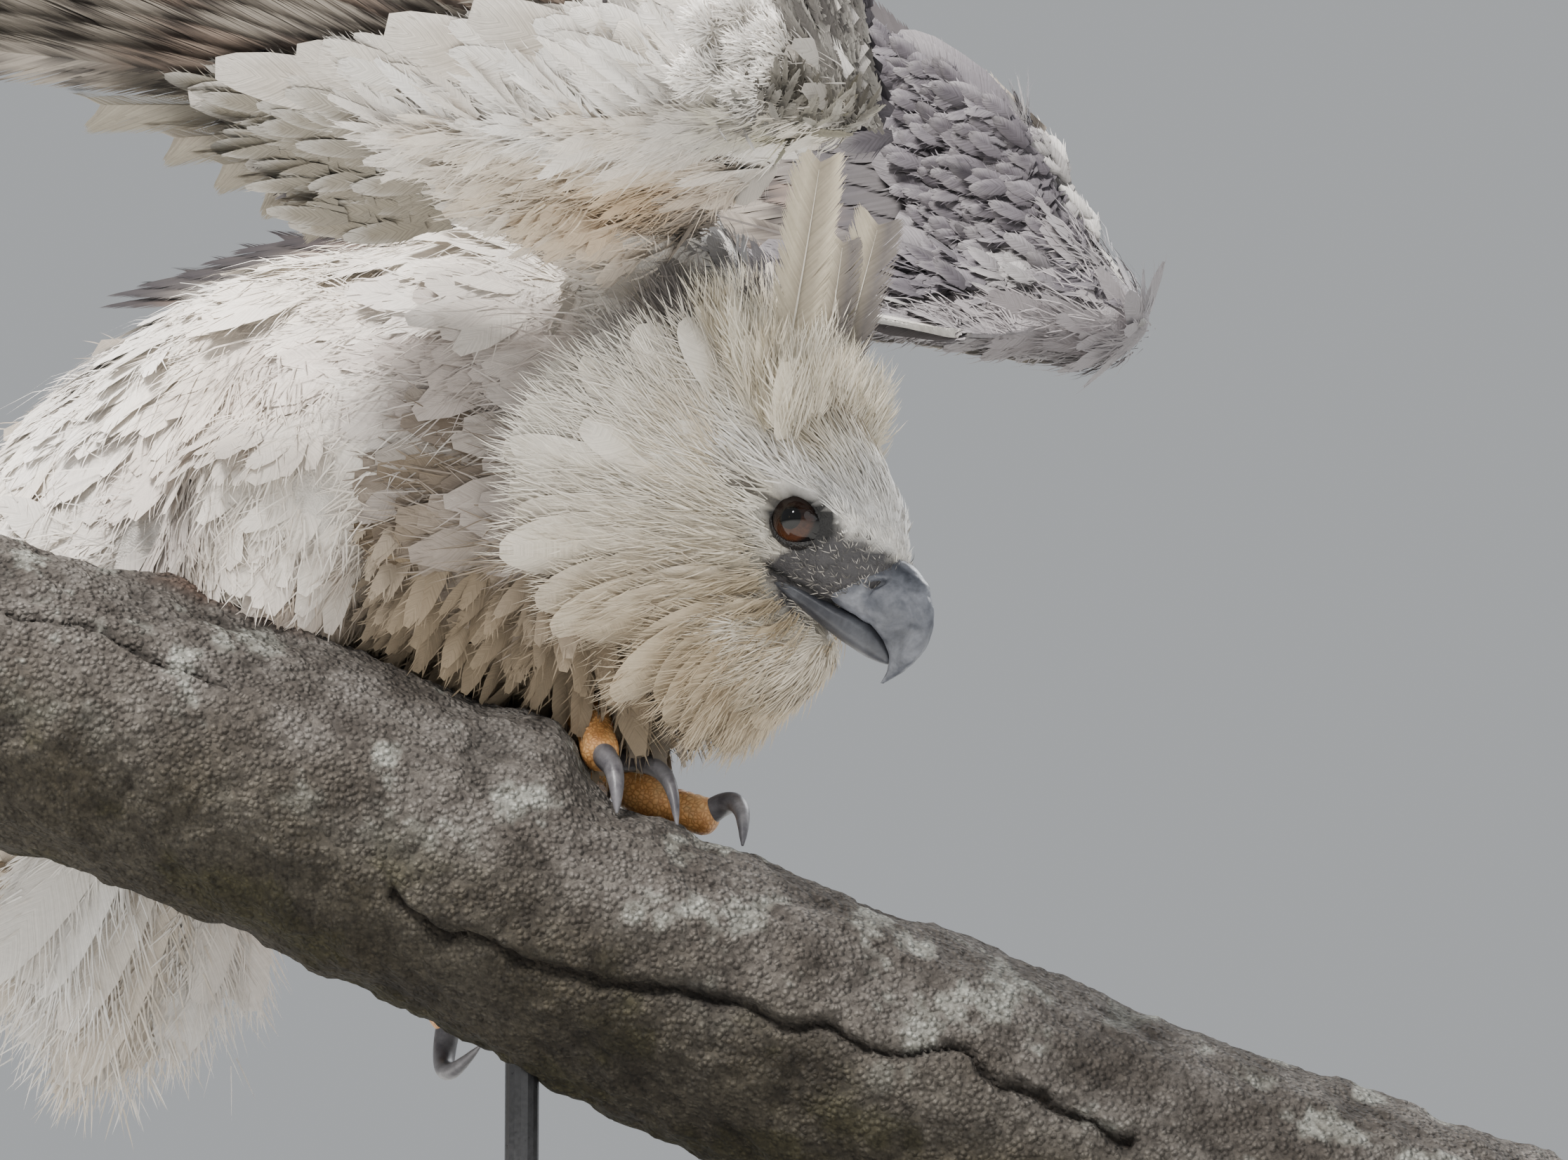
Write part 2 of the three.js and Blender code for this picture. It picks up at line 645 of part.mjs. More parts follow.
// The arm inside its feathers, and the web of skin in front of the elbow
function wingArm(wing) {
  const up = bodyVector(0, 0, 1, wing.side);
  const fleece = wing.fleece;
  const inner = loft({
    line: [-0.12, 0.5, 1].map((t) => wing.shoulder.clone().lerp(wing.elbow, t)),
    radii: [[34, 30], [26, 20], [17, 14]], up, sides: 8, steps: 3, dome: 0.6,
  });
  const outer = loft({
    line: [wing.elbow, wing.elbow.clone().lerp(wing.wrist, 0.5), wing.wrist],
    radii: [[17, 14], [16, 12], [15 + fleece, 13 + fleece]], up, sides: 8, steps: 3, dome: 0.7,
  });
  const hand = loft({
    line: [wing.wrist, wing.wrist.clone().lerp(wing.hand, 0.5), wing.hand],
    radii: [[15 + fleece, 14 + fleece], [13 + fleece, 10], [6 + fleece, 5]], up: ahead, sides: 8, steps: 3,
    dome: 0.8,
  });
  const edge = new THREE.CatmullRomCurve3(
    [wing.shoulder.clone().addScaledVector(ahead, 14), ...wing.front,
      wing.wrist.clone().addScaledVector(ahead, 8)],
    false, "centripetal",
  );
  const rows = 6;
  const grid = [];
  const normals = [];
  for (let i = 0; i <= rows; i++) {
    const t = i / rows;
    const bone = t < 0.5
      ? wing.shoulder.clone().lerp(wing.elbow, 0.15 + 1.7 * t)
      : wing.elbow.clone().lerp(wing.wrist, 2 * t - 1);
    const front = edge.getPoint(t);
    grid.push([bone, bone.clone().lerp(front, 0.55).addScaledVector(WORLD_UP, 5), front]);
    normals.push(wingFace(wing, mix(0.1, 0.7, t)));
  }
  const web = plate(grid, normals, grid.map((row, i) => 15 - 3 * Math.abs(i - 3)));
  return [inner, outer, hand, web];
}

// Where a flight feather leaves the bone: tertials by the elbow, secondaries, then primaries on the hand
function featherPlace(k) {
  if (k < TERTIALS) return mix(0.06, 0.24, k / (TERTIALS - 1));
  if (k < TERTIALS + SECONDARIES) return mix(0.31, 0.66, (k - TERTIALS) / (SECONDARIES - 1));
  return mix(0.7, 0.985, (k - TERTIALS - SECONDARIES) / (PRIMARIES - 1));
}

// The long flight feathers, from the inmost tertial to the outermost primary
function flightVanes(wing) {
  const random = randomSource(wing.side > 0 ? 5 : 6);
  const bone = wingBone(wing);
  const count = TERTIALS + SECONDARIES + PRIMARIES;
  const vanes = [];
  for (let k = 0; k < count; k++) {
    const u = featherPlace(k);
    const lie = between(FEATHER_LIE[wing.side], u).normalize();
    const face = wingFace(wing, u);
    const isPrimary = u > 0.69;
    const length = between(FEATHER_LENGTH[wing.side], u) * (0.98 + 0.04 * random());
    vanes.push(vane({
      root: between(bone, u), along: lie, face, length, width: isPrimary ? 44 : 58,
      roll: -FLIGHT_ROLL * wing.side, bend: 16, quill: 0.22, point: isPrimary ? 0.72 : 0.8,
      steps: 3, thick: [1.7, 0.8],
    }));
  }
  return vanes;
}

// Rows of coverts over the roots of the flight feathers, above (lift over 0) or below the wing
function covertVanes(wing, { count, from, to, length, width, lift, seed }) {
  const random = randomSource(seed);
  const bone = wingBone(wing);
  const vanes = [];
  for (let k = 0; k < count; k++) {
    const u = mix(from, to, (k + 0.5) / count);
    const lie = between(FEATHER_LIE[wing.side], u).normalize();
    const face = wingFace(wing, u).multiplyScalar(Math.sign(lift));
    const root = between(bone, u).addScaledVector(face, Math.abs(lift));
    vanes.push(vane({
      root, along: lie.addScaledVector(face, 0.02), face, length: length * (0.96 + 0.08 * random()), width,
      roll: -COVERT_ROLL * wing.side * Math.sign(lift), bend: (lift > 0 ? 20 : -20) * (length / 350) ** 2,
      quill: 0.5, point: 0.6, steps: 2, thick: [1.2, 0.8],
    }));
  }
  return vanes;
}

function wingSolid(wing, neighbours) {
  const tiers = [
    { count: 8, from: 0.08, to: 0.98, length: 120, width: 64, lift: 11, seed: 31 },
    { count: 7, from: 0.1, to: 0.97, length: 108, width: 66, lift: -11, seed: 41 },
  ];
  const parts = [...wingArm(wing), ...flightVanes(wing)];
  for (const tier of tiers) {
    parts.push(...covertVanes(wing, { ...tier, seed: tier.seed + wing.side }));
  }
  return cutClear(fuse(parts), neighbours);
}

// The tail: twelve feathers in a slight fan, with coverts over and under their roots
function tailSolid(neighbours) {
  const root = v(-268, 152, 436);
  const lie = v(-286, 66, -206).normalize();
  const across = v(0, 0, 0).crossVectors(lie, WORLD_UP).normalize();
  const face = v(0, 0, 0).crossVectors(across, lie).normalize();
  const random = randomSource(61);
  const parts = [loft({
    line: [root.clone().addScaledVector(lie, -22), root.clone().addScaledVector(lie, 30)],
    radii: [[40, 30], [26, 13]], sides: 12, steps: 3, dome: 0.5,
  })];
  for (let k = 0; k < TAIL_FEATHERS; k++) {
    const spread = (2 * k) / (TAIL_FEATHERS - 1) - 1;
    const along = lie.clone().addScaledVector(across, 0.17 * spread);
    parts.push(vane({
      root: root.clone().addScaledVector(across, 15 * spread).addScaledVector(face, -3 * Math.abs(spread)),
      along, face, length: TAIL_LENGTH - 14 * Math.abs(spread), width: 54, roll: 0.1 * (spread > 0 ? 1 : -1),
      bend: 10 + 4 * random(), quill: 0.3, point: 0.85, steps: 3, thick: [3, 1],
    }));
  }
  for (const over of [1, -1]) {
    const count = over > 0 ? 4 : 5;
    for (let k = 0; k < count; k++) {
      const spread = (2 * k) / (count - 1) - 1;
      parts.push(vane({
        root: root.clone().addScaledVector(across, 22 * spread).addScaledVector(face, 9 * over),
        along: lie.clone().addScaledVector(across, 0.24 * spread).addScaledVector(face, 0.06 * over),
        face: face.clone().multiplyScalar(over), length: (over > 0 ? 120 : 165) * (0.9 + 0.2 * random()),
        width: 48, roll: 0.12, bend: 10, quill: 0.5, point: 0.55, steps: 2, thick: [2.2, 1],
      }));
    }
  }
  return cutClear(fuse(parts), neighbours);
}

// Long loose feathers of the flanks, back and vent, rooted on the trunk
function trunkVanes() {
  const random = randomSource(71);
  const vanes = [];
  const vent = v(-190, 108, 420);
  for (let k = 0; k < 6; k++) {
    const spread = k / 5 - 0.5;
    vanes.push(vane({
      root: vent.clone().add(v(46 * spread, 16 * spread, 10)),
      along: v(-0.34 + 0.3 * spread, -0.02, -1), face: v(0.1 + spread, -1, 0), length: 168 + 20 * random(),
      width: 42, roll: 0.14, bend: -6, quill: 0.5, point: 0.6, steps: 3, thick: [2.6, 1],
    }));
  }
  return vanes;
}

// Everything is placed in order: a piece clears those before it
const branch = branchSolid(0);
const trunkFat = trunk(GAP);
const neckFat = neck(GAP);
const branchFat = branchSolid(GAP);
addNode("perch_branch", branch, BARK, 0.9);

const torso = cutClear(fuse([trunk(0), ...trunkVanes()]), [branchFat]);
addNode("torso", torso, PALE, 0.9);
addNode("neck", cutClear(neck(0), [trunkFat]), PALE, 0.9);

const legCuts = [];
for (const [label, leg] of Object.entries(legs)) {
  const thighBody = cutClear(thigh(leg, 0), [trunkFat, branchFat]);
  addNode(`thigh_${label}`, thighBody, PALE, 0.9);
  const tarsusBody = cutClear(tarsus(leg, 0), [thigh(leg, GAP), branchFat, trunkFat]);
  addNode(`tarsus_${label}`, tarsusBody, ORANGE, 0.6);
  const claws = leg.toes.map((toe) => clawSolid(toe, 0));
  const clawsFat = leg.toes.map((toe) => clawSolid(toe, GAP));
  const toes = leg.toes.map((toe) => toeSolid(leg, toe));
  const foot = cutClear(fuse(toes), [...clawsFat, tarsus(leg, GAP), branchFat, trunkFat, thigh(leg, GAP)]);
  addNode(`foot_${label}`, foot, ORANGE, 0.6);
  leg.toes.forEach((toe, k) => {
    addNode(`claw_${label}_${toe.name}`, cutClear(claws[k], [branchFat]), HORN, 0.35);
  });
  legCuts.push(thigh(leg, GAP));
}

const bill = cutClear(upperBill(0), [nostril(1), nostril(-1)]);
addNode("bill_upper", bill, HORN, 0.4);
addNode("bill_lower", cutClear(lowerBill(0), [upperBill(GAP)]), HORN, 0.45);
addNode("eye_right", eyeBall(1, 0), 0x5a3a26, 0.1);
addNode("eye_left", eyeBall(-1, 0), 0x5a3a26, 0.1);
const head = cutClear(
  fuse([...headCore(), lidRing(1), lidRing(-1), browRidge(1), browRidge(-1), ...ruffVanes(),
    ...crestVanes()]),
  [upperBill(GAP), lowerBill(GAP), eyeBall(1, GAP), eyeBall(-1, GAP), gapeSlit(1), gapeSlit(-1), neckFat,
    trunkFat, ...legCuts],
);
addNode("head", head, CREAM, 0.9);
addNode("wing_right", wingSolid(wings.right, [trunkFat, neckFat]), PALE, 0.9);
addNode("wing_left", wingSolid(wings.left, [trunkFat, neckFat]), GREY, 0.9);
addNode("tail", tailSolid([trunkFat, branchFat]), PALE, 0.9);

// The display stand: a flat base and two rods up to the branch
const plinth = new THREE.BoxGeometry(...BASE_SIZE);
plinth.translate(0, 0, BASE_SIZE[2] / 2);
addNode("stand_base", solid(plinth), PAINT, 0.5);
ROD_X.forEach((x, k) => {
  const top = branchAt(x).centre.z;
  const rod = new THREE.CylinderGeometry(ROD_RADIUS, ROD_RADIUS, top - BASE_SIZE[2] - GAP, 16);
  rod.rotateX(Math.PI / 2);
  rod.translate(x, 0, (top + BASE_SIZE[2] + GAP) / 2);
  addNode(`stand_rod_${k + 1}`, cutClear(solid(rod), [branchFat]), PAINT, 0.4);
});

export default group;
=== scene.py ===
# A life-size harpy eagle in immature plumage, leaning forward on a sloping length of branch. Each feather is
# a mesh of barbs or soft strands laid over one skin. Sizes in the functions are in millimetres.
import math

import bpy
import numpy as np
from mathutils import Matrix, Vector


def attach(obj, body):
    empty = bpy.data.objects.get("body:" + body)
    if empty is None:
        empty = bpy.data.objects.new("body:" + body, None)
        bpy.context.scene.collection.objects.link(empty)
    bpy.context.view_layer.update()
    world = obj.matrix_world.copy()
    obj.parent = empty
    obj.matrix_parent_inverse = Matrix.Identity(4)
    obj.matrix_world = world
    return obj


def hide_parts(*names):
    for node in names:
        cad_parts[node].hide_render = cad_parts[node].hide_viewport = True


bl_info = {
    "name": "Harpy eagle on a branch",
    "version": (1, 0, 0),
    "blender": (4, 5, 0),
    "location": "View3D > Sidebar > Eagle",
    "description": "Dresses the eagle's frame in skin, feathers, horn and bark",
    "category": "Object",
}

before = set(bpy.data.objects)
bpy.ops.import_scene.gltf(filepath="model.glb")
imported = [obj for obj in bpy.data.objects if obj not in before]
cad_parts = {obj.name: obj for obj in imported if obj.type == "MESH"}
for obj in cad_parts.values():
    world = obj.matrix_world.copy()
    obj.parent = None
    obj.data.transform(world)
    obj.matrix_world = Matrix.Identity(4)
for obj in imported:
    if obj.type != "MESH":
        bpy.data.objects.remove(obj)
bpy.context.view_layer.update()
MM = 0.001
UP = np.array([0.0, 0.0, 1.0])
HEADING = math.radians(14)
AHEAD = np.array([math.cos(HEADING), -math.sin(HEADING), 0.0])
TO_RIGHT = np.array([-math.sin(HEADING), -math.cos(HEADING), 0.0])


# Vectors, curves and noise


def unit(a):
    a = np.asarray(a, float)
    return a / np.maximum(np.linalg.norm(a, axis=-1, keepdims=True), 1e-9)


def mix(a, b, f):
    return a + (b - a) * f


def smooth(low, high, x):
    t = np.clip((x - low) / (high - low), 0, 1)
    return t * t * (3 - 2 * t)


def srgb(r, g, b):
    c = np.array([r, g, b], float) / 255
    return np.where(c <= 0.04045, c / 12.92, ((c + 0.055) / 1.055) ** 2.4)


def body_vector(forward, outward, up, side):
    return AHEAD * forward + TO_RIGHT * outward * side + UP * up


def turn_about(vector, axis, angle):
    axis = unit(axis)
    angle = np.asarray(angle)[..., None]
    along = axis * np.sum(axis * vector, axis=-1, keepdims=True)
    return along + (vector - along) * np.cos(angle) + np.cross(axis, vector) * np.sin(angle)


def mottle(p, size, seed=0):
    """Smooth random values from -1 to 1, one for each point."""
    q = np.asarray(p, float) / size + seed * 17.31
    cell = np.floor(q).astype(np.int64)
    f = q - cell
    f = f * f * (3 - 2 * f)
    total = 0.0
    for dx in (0, 1):
        for dy in (0, 1):
            for dz in (0, 1):
                h = (cell[..., 0] + dx) * 73856093 ^ (cell[..., 1] + dy) * 19349663
                h = h ^ (cell[..., 2] + dz) * 83492791
                h = (h ^ (seed * 2654435)) & 0xFFFFFF
                h = (h * 1103515245 + 12345) & 0x7FFFFFFF
                value = ((h >> 8) & 0xFFFF) / 32767.5 - 1
                wx = f[..., 0] if dx else 1 - f[..., 0]
                wy = f[..., 1] if dy else 1 - f[..., 1]
                wz = f[..., 2] if dz else 1 - f[..., 2]
                total = total + value * wx * wy * wz
    return total


def curve_points(points, t, centripetal=True):
    """Points at t, from 0 to 1, on a smooth curve through the given ones."""
    p = np.asarray(points, float)
    t = np.clip(np.atleast_1d(np.asarray(t, float)), 0, 1)
    s = (len(p) - 1) * t
    i = np.minimum(np.floor(s).astype(int), len(p) - 2)
    w = (s - i)[:, None]
    ext = np.vstack([2 * p[0] - p[1], p, 2 * p[-1] - p[-2]])
    p0, p1, p2, p3 = ext[i], ext[i + 1], ext[i + 2], ext[i + 3]
    if centripetal:
        d0, d1, d2 = [np.sqrt(np.linalg.norm(b - a, axis=1, keepdims=True))
                      for a, b in ((p0, p1), (p1, p2), (p2, p3))]
        m1 = ((p1 - p0) / d0 - (p2 - p0) / (d0 + d1) + (p2 - p1) / d1) * d1
        m2 = ((p2 - p1) / d1 - (p3 - p1) / (d1 + d2) + (p3 - p2) / d2) * d1
    else:
        m1 = (p2 - p0) / 2
        m2 = (p3 - p1) / 2
    return p1 + m1 * w + (3 * p2 - 3 * p1 - 2 * m1 - m2) * w**2 + (2 * p1 - 2 * p2 + m1 + m2) * w**3


def table(pairs, u):
    """A value or vector from a table of (place, value) pairs."""
    u = np.atleast_1d(np.asarray(u, float))
    places = [a for a, _ in pairs]
    values = np.array([np.atleast_1d(b) for _, b in pairs], float)
    out = np.stack([np.interp(u, places, values[:, k]) for k in range(values.shape[1])], axis=-1)
    return out[:, 0] if values.shape[1] == 1 else out


CAP_RINGS = 4


def ring_tris(rings, sides):
    """Triangles between closed rings of points that follow one another."""
    i, k = np.repeat(np.arange(rings - 1), sides), np.tile(np.arange(sides), rings - 1)
    a, b = i * sides + k, i * sides + (k + 1) % sides
    return np.vstack([np.c_[a, b, a + sides], np.c_[b, b + sides, a + sides]])


def end_tris(rings, sides):
    """Triangles that close a tube's ends on the two points that follow its rings."""
    k = np.arange(sides)
    after, last = (k + 1) % sides, (rings - 1) * sides
    return np.vstack([np.c_[np.full(sides, rings * sides), after, k],
                      np.c_[np.full(sides, rings * sides + 1), last + k, last + after]])


def line_way(line, t, step):
    """The direction of a smooth line at t."""
    return unit(curve_points(line, np.minimum(t + step, 1)) - curve_points(line, np.maximum(t - step, 0)))


def tube(line, radii, up=UP, sides=32, steps=28, dome=0.5, end_dome=None, shape=None):
    """A closed round body along a smooth line, as points and triangles."""
    end_dome = dome if end_dome is None else end_dome
    radii = np.asarray(radii, float)
    first, last = radii[0].min() * dome, radii[-1].min() * end_dome
    cap = math.pi / 2 * np.arange(1, CAP_RINGS + 1) / (CAP_RINGS + 1)
    t = np.r_[np.zeros(CAP_RINGS), np.arange(steps + 1) / steps, np.ones(CAP_RINGS)]
    shrink = np.r_[np.sin(cap), np.ones(steps + 1), np.cos(cap)]
    shift = np.r_[-first * np.cos(cap), np.zeros(steps + 1), last * np.sin(cap)]
    tangent = line_way(line, t, 1e-3)
    reach = curve_points(np.c_[radii, np.zeros(len(radii))], t, False)
    across = unit(np.cross(tangent, up))
    over = unit(np.cross(across, tangent))
    centre = curve_points(line, t) + tangent * shift[:, None]
    angle = 2 * math.pi * np.arange(sides)[None] / sides
    rx, ry = (reach[:, 0] * shrink)[:, None], (reach[:, 1] * shrink)[:, None]
    if shape is not None:
        factor = shape(t[:, None], angle)
        rx, ry = rx * factor, ry * factor
    points = (centre[:, None] + across[:, None] * (np.cos(angle) * rx)[..., None]
              + over[:, None] * (np.sin(angle) * ry)[..., None])
    tips = [curve_points(line, 0)[0] - tangent[0] * first, curve_points(line, 1)[0] + tangent[-1] * last]
    return (np.vstack([points.reshape(-1, 3), tips]),
            np.vstack([ring_tris(len(t), sides), end_tris(len(t), sides)]))


def join(parts):
    """One list of points and triangles from several."""
    points, tris, base = [], [], 0
    for p, t in parts:
        points.append(p)
        tris.append(t + base)
        base += len(p)
    return np.vstack(points), np.vstack(tris)


# The eagle's build: the same lines that its frame is made on


HEAD_CENTRE = np.array([125.0, -45.0, 524.0])
HEAD_YAW, HEAD_PITCH = math.radians(30), math.radians(33)
HEAD_FORWARD = np.array([math.cos(HEAD_YAW) * math.cos(HEAD_PITCH),
                         -math.sin(HEAD_YAW) * math.cos(HEAD_PITCH), -math.sin(HEAD_PITCH)])
HEAD_RIGHT = np.array([-math.sin(HEAD_YAW), -math.cos(HEAD_YAW), 0.0])
HEAD_UP = np.cross(HEAD_RIGHT, HEAD_FORWARD)
EYE_RADIUS, EYE_OFFSET = 16.2, 20.5


def head_vector(forward, right, up):
    return (np.multiply.outer(forward, HEAD_FORWARD) + np.multiply.outer(right, HEAD_RIGHT)
            + np.multiply.outer(up, HEAD_UP))


def head_point(forward, right, up):
    return HEAD_CENTRE + head_vector(forward, right, up)


def head_place(p):
    d = p - HEAD_CENTRE
    return d @ HEAD_FORWARD, d @ HEAD_RIGHT, d @ HEAD_UP


TRUNK = dict(
    line=[(62, 38, 588), (8, 50, 574), (-62, 74, 574), (-128, 98, 562), (-190, 122, 530), (-246, 144, 477),
          (-283, 160, 420)],
    radii=[(74, 84), (102, 127), (111, 117), (107, 116), (95, 110), (78, 100), (46, 66)], dome=0.7,
    end_dome=0.5)
NECK = dict(line=[(40, 38, 612), (62, 20, 598), (84, 2, 574)], radii=[(66, 68), (62, 66), (54, 58)], dome=0.5)
THIGH_RIGHT = dict(line=[(-132, 26, 566), (-134, 24, 508), (-122, 112, 470)],
                   radii=[(58, 62), (52, 55), (22, 24)], up=AHEAD, dome=0.5)
THIGH_LEFT = dict(line=[(-104, 164, 560), (-102, 182, 500), (-120, 160, 436)],
                  radii=[(58, 62), (52, 55), (22, 24)], up=AHEAD, dome=0.5)
SKULL = dict(line=[head_point(-84, 0, 6), head_point(-60, 0, 10), head_point(-30, 0, 6), head_point(0, 0, 2),
                   head_point(26, 0, -3), head_point(40, 0, -4)],
             radii=[(66, 56), (61, 55), (49, 45), (36, 38), (25, 30), (16, 20)], up=HEAD_UP, dome=0.4,
             end_dome=0.5)
THROAT = dict(line=[head_point(-60, 0, -42), head_point(-25, 0, -62), head_point(8, 0, -62),
                    head_point(30, 0, -50)],
              radii=[(50, 44), (42, 40), (30, 30), (15, 12)], up=HEAD_UP, dome=0.5)

WINGS = {
    1: dict(shoulder=(46, -24, 655), elbow=(-59, -157, 697), wrist=(129, -262, 676), hand=(116, -288, 778),
            front=[(86, -96, 676), (122, -190, 674)], fleece=0,
            lie=[(0, (-0.95, 0.02, -0.02)), (0.3, (-0.97, 0.1, 0.22)), (0.68, (-0.82, 0.12, 0.42)),
                 (1, (-0.66, 0.16, 0.74))],
            length=[(0, 100), (0.12, 120), (0.24, 150), (0.31, 265), (0.45, 320), (0.66, 350), (0.72, 390),
                    (0.9, 500), (1, 430)]),
    -1: dict(shoulder=(78, 126, 656), elbow=(66, 288, 690), wrist=(276, 300, 684), hand=(234, 312, 792),
             front=[(140, 190, 668), (212, 262, 668)], fleece=12,
             lie=[(0, (-0.95, 0.05, -0.06)), (0.3, (-0.95, 0.1, 0.12)), (0.68, (-0.86, 0.14, 0.36)),
                  (1, (-0.8, 0.2, 0.58))],
             length=[(0, 230), (0.24, 300), (0.31, 350), (0.66, 350), (0.72, 390), (0.9, 500), (1, 430)]),
}


def wing_joints(side):
    """Shoulder, elbow, wrist and the hand's tip."""
    return [np.array(WINGS[side][k], float) for k in ("shoulder", "elbow", "wrist", "hand")]


def wing_bone(side, u):
    shoulder, elbow, wrist, hand = wing_joints(side)
    return table([(0, mix(elbow, shoulder, 0.55)), (0.3, elbow), (0.68, wrist), (1, hand)], u)


def wing_front(side, t):
    """The front edge of the web of skin and the bone behind it, at t from shoulder to wrist."""
    shoulder, elbow, wrist, _ = wing_joints(side)
    edge = [shoulder + AHEAD * 14, *np.array(WINGS[side]["front"], float), wrist + AHEAD * 8]
    bone = np.where(t[:, None] < 0.5, mix(shoulder, elbow, (0.15 + 1.7 * t)[:, None]),
                    mix(elbow, wrist, (2 * t - 1)[:, None]))
    return curve_points(edge, t), bone


def wing_lie(side, u):
    return unit(table([(a, body_vector(*b, side)) for a, b in WINGS[side]["lie"]], u))


def wing_length(side, u):
    return table(WINGS[side]["length"], u)


def wing_face(side, u):
    """The way the wing's upper side looks, square to the surface of its feathers."""
    u = np.atleast_1d(np.asarray(u, float))

    def blade(at):
        return wing_bone(side, at) + wing_lie(side, at) * (0.45 * wing_length(side, at))[:, None]

    across = blade(np.minimum(1, u + 0.06)) - blade(np.maximum(0, u - 0.06))
    return unit(np.cross(wing_lie(side, u), across) * side)


def wing_surface(side, u, s, height):
    """A point s behind the bone, and height over the middle of the wing's feathers, on its upper side."""
    lie, face = wing_lie(side, u), wing_face(side, u)
    bow = 16 * (s / wing_length(side, u)) ** 2
    return wing_bone(side, u) + lie * np.reshape(s, (-1, 1)) + face * np.reshape(height - bow, (-1, 1))


def wing_arm(side):
    """The wing's three bones in their flesh, as settings of tubes."""
    fleece = WINGS[side]["fleece"]
    shoulder, elbow, wrist, hand = wing_joints(side)
    return [
        dict(line=[mix(shoulder, elbow, -0.12), mix(shoulder, elbow, 0.5), elbow],
             radii=[(34, 30), (26, 20), (17, 14)], dome=0.6),
        dict(line=[elbow, mix(elbow, wrist, 0.5), wrist],
             radii=[(17, 14), (16, 12), (15 + fleece, 13 + fleece)], dome=0.7),
        dict(line=[wrist, mix(wrist, hand, 0.5), hand],
             radii=[(15 + fleece, 14 + fleece), (13 + fleece, 10), (6 + fleece, 5)], up=AHEAD, dome=0.8),
    ]


def wing_web(side, rows=16, thickness=13):
    """The web of skin in front of the elbow, as a closed plate."""
    t = np.linspace(0, 1, rows)
    front, bone = wing_front(side, t)
    grid = np.stack([bone, mix(bone, front, 0.55) + UP * 5, front], axis=1)
    half = np.maximum(6, thickness - 6 * np.abs(2 * t - 1))[:, None, None] / 2
    face = wing_face(side, mix(0.1, 0.7, t))[:, None]
    points = np.vstack([(grid + face * half).reshape(-1, 3), (grid - face * half).reshape(-1, 3)])
    tris, under = [], rows * 3
    for a in (3 * i + j for i in range(rows - 1) for j in range(2)):
        b, c, d = a + 1, a + 3, a + 4
        tris += [(a, b, c), (b, d, c), (under + a, under + c, under + b), (under + b, under + c, under + d)]
    rim = ([0, 1, 2] + [3 * i + 2 for i in range(1, rows)] + [3 * rows - 2, 3 * rows - 3]
           + [3 * i for i in range(rows - 2, 0, -1)])
    for a, b in zip(rim, rim[1:] + rim[:1]):
        tris += [(a, under + a, b), (b, under + a, under + b)]
    return points, np.array(tris)


FLESH = {"trunk": TRUNK, "neck": NECK, "thigh_right": THIGH_RIGHT, "thigh_left": THIGH_LEFT, "skull": SKULL,
         "throat": THROAT}
SIDES = ((1, "right"), (-1, "left"))
FLESH.update({f"arm_{label}_{k}": bone for side, label in SIDES for k, bone in enumerate(wing_arm(side))})
REGION = {name: k for k, name in enumerate(FLESH)}
HEAD_REGIONS = [REGION["skull"], REGION["throat"]]
TILE, PATCH = 0.24, 0.003


def flesh_samples():
    """Middle line, size and lie of the feathers along every round part of the body."""
    samples = {}
    t = np.linspace(0, 1, 40)
    for name, part in FLESH.items():
        tangent = line_way(part["line"], t, 0.02)
        across = unit(np.cross(tangent, part.get("up", UP)))
        reach = curve_points(np.c_[np.asarray(part["radii"], float), np.zeros(len(part["radii"]))], t, False)
        lie = tangent
        if name == "neck":
            lie = -tangent
        elif name in ("skull", "throat"):
            lie = np.tile(-HEAD_FORWARD, (len(t), 1))
        elif name.startswith("arm"):
            low, high = ((0, 0.3), (0.3, 0.68), (0.68, 1))[int(name[-1])]
            lie = wing_lie(1 if "right" in name else -1, mix(low, high, t))
        elif name == "trunk":
            lie = tangent + np.array([0, 0, -0.16])
        samples[name] = (curve_points(part["line"], t), across, unit(np.cross(across, tangent)), reach,
                         unit(lie))
    return samples


SAMPLES = flesh_samples()


def survey(p):
    """For each point: the nearest part of the body, its place (t, angle) there and the blended lie."""
    best = np.full(len(p), 1e9)
    region = np.zeros(len(p), int)
    place = np.zeros((len(p), 2))
    lie = np.zeros((len(p), 3))
    for name, (centre, across, over, reach, way) in SAMPLES.items():
        gap = p[:, None] - centre[None]
        size = reach[:, :2].mean(axis=1)
        k = np.argmin(np.linalg.norm(gap, axis=2) / size[None], axis=1)
        rows = np.arange(len(p))
        d = gap[rows, k]
        x = np.sum(d * across[k], axis=1) / reach[k, 0]
        y = np.sum(d * over[k], axis=1) / reach[k, 1]
        f = np.linalg.norm(d, axis=1) / size[k]
        weight = 1 / (0.02 + np.maximum(f - 0.75, 0) ** 2) ** 1.5
        lie += way[k] * weight[:, None]
        near = f < best
        best[near] = f[near]
        region[near] = REGION[name]
        place[near] = np.c_[k / (len(centre) - 1), (np.arctan2(y, x) / (2 * math.pi)) % 1][near]
    return region, place, unit(lie)


def skin_uv(region, place):
    """The unwrap of the skin's own shape: each part in a tile, its length across and its girth up."""
    column, row = region % 4, region // 4
    return np.c_[column * 0.25 + 0.005 + TILE * place[:, 0], row * 0.25 + 0.005 + TILE * place[:, 1]]


# Plumage colours


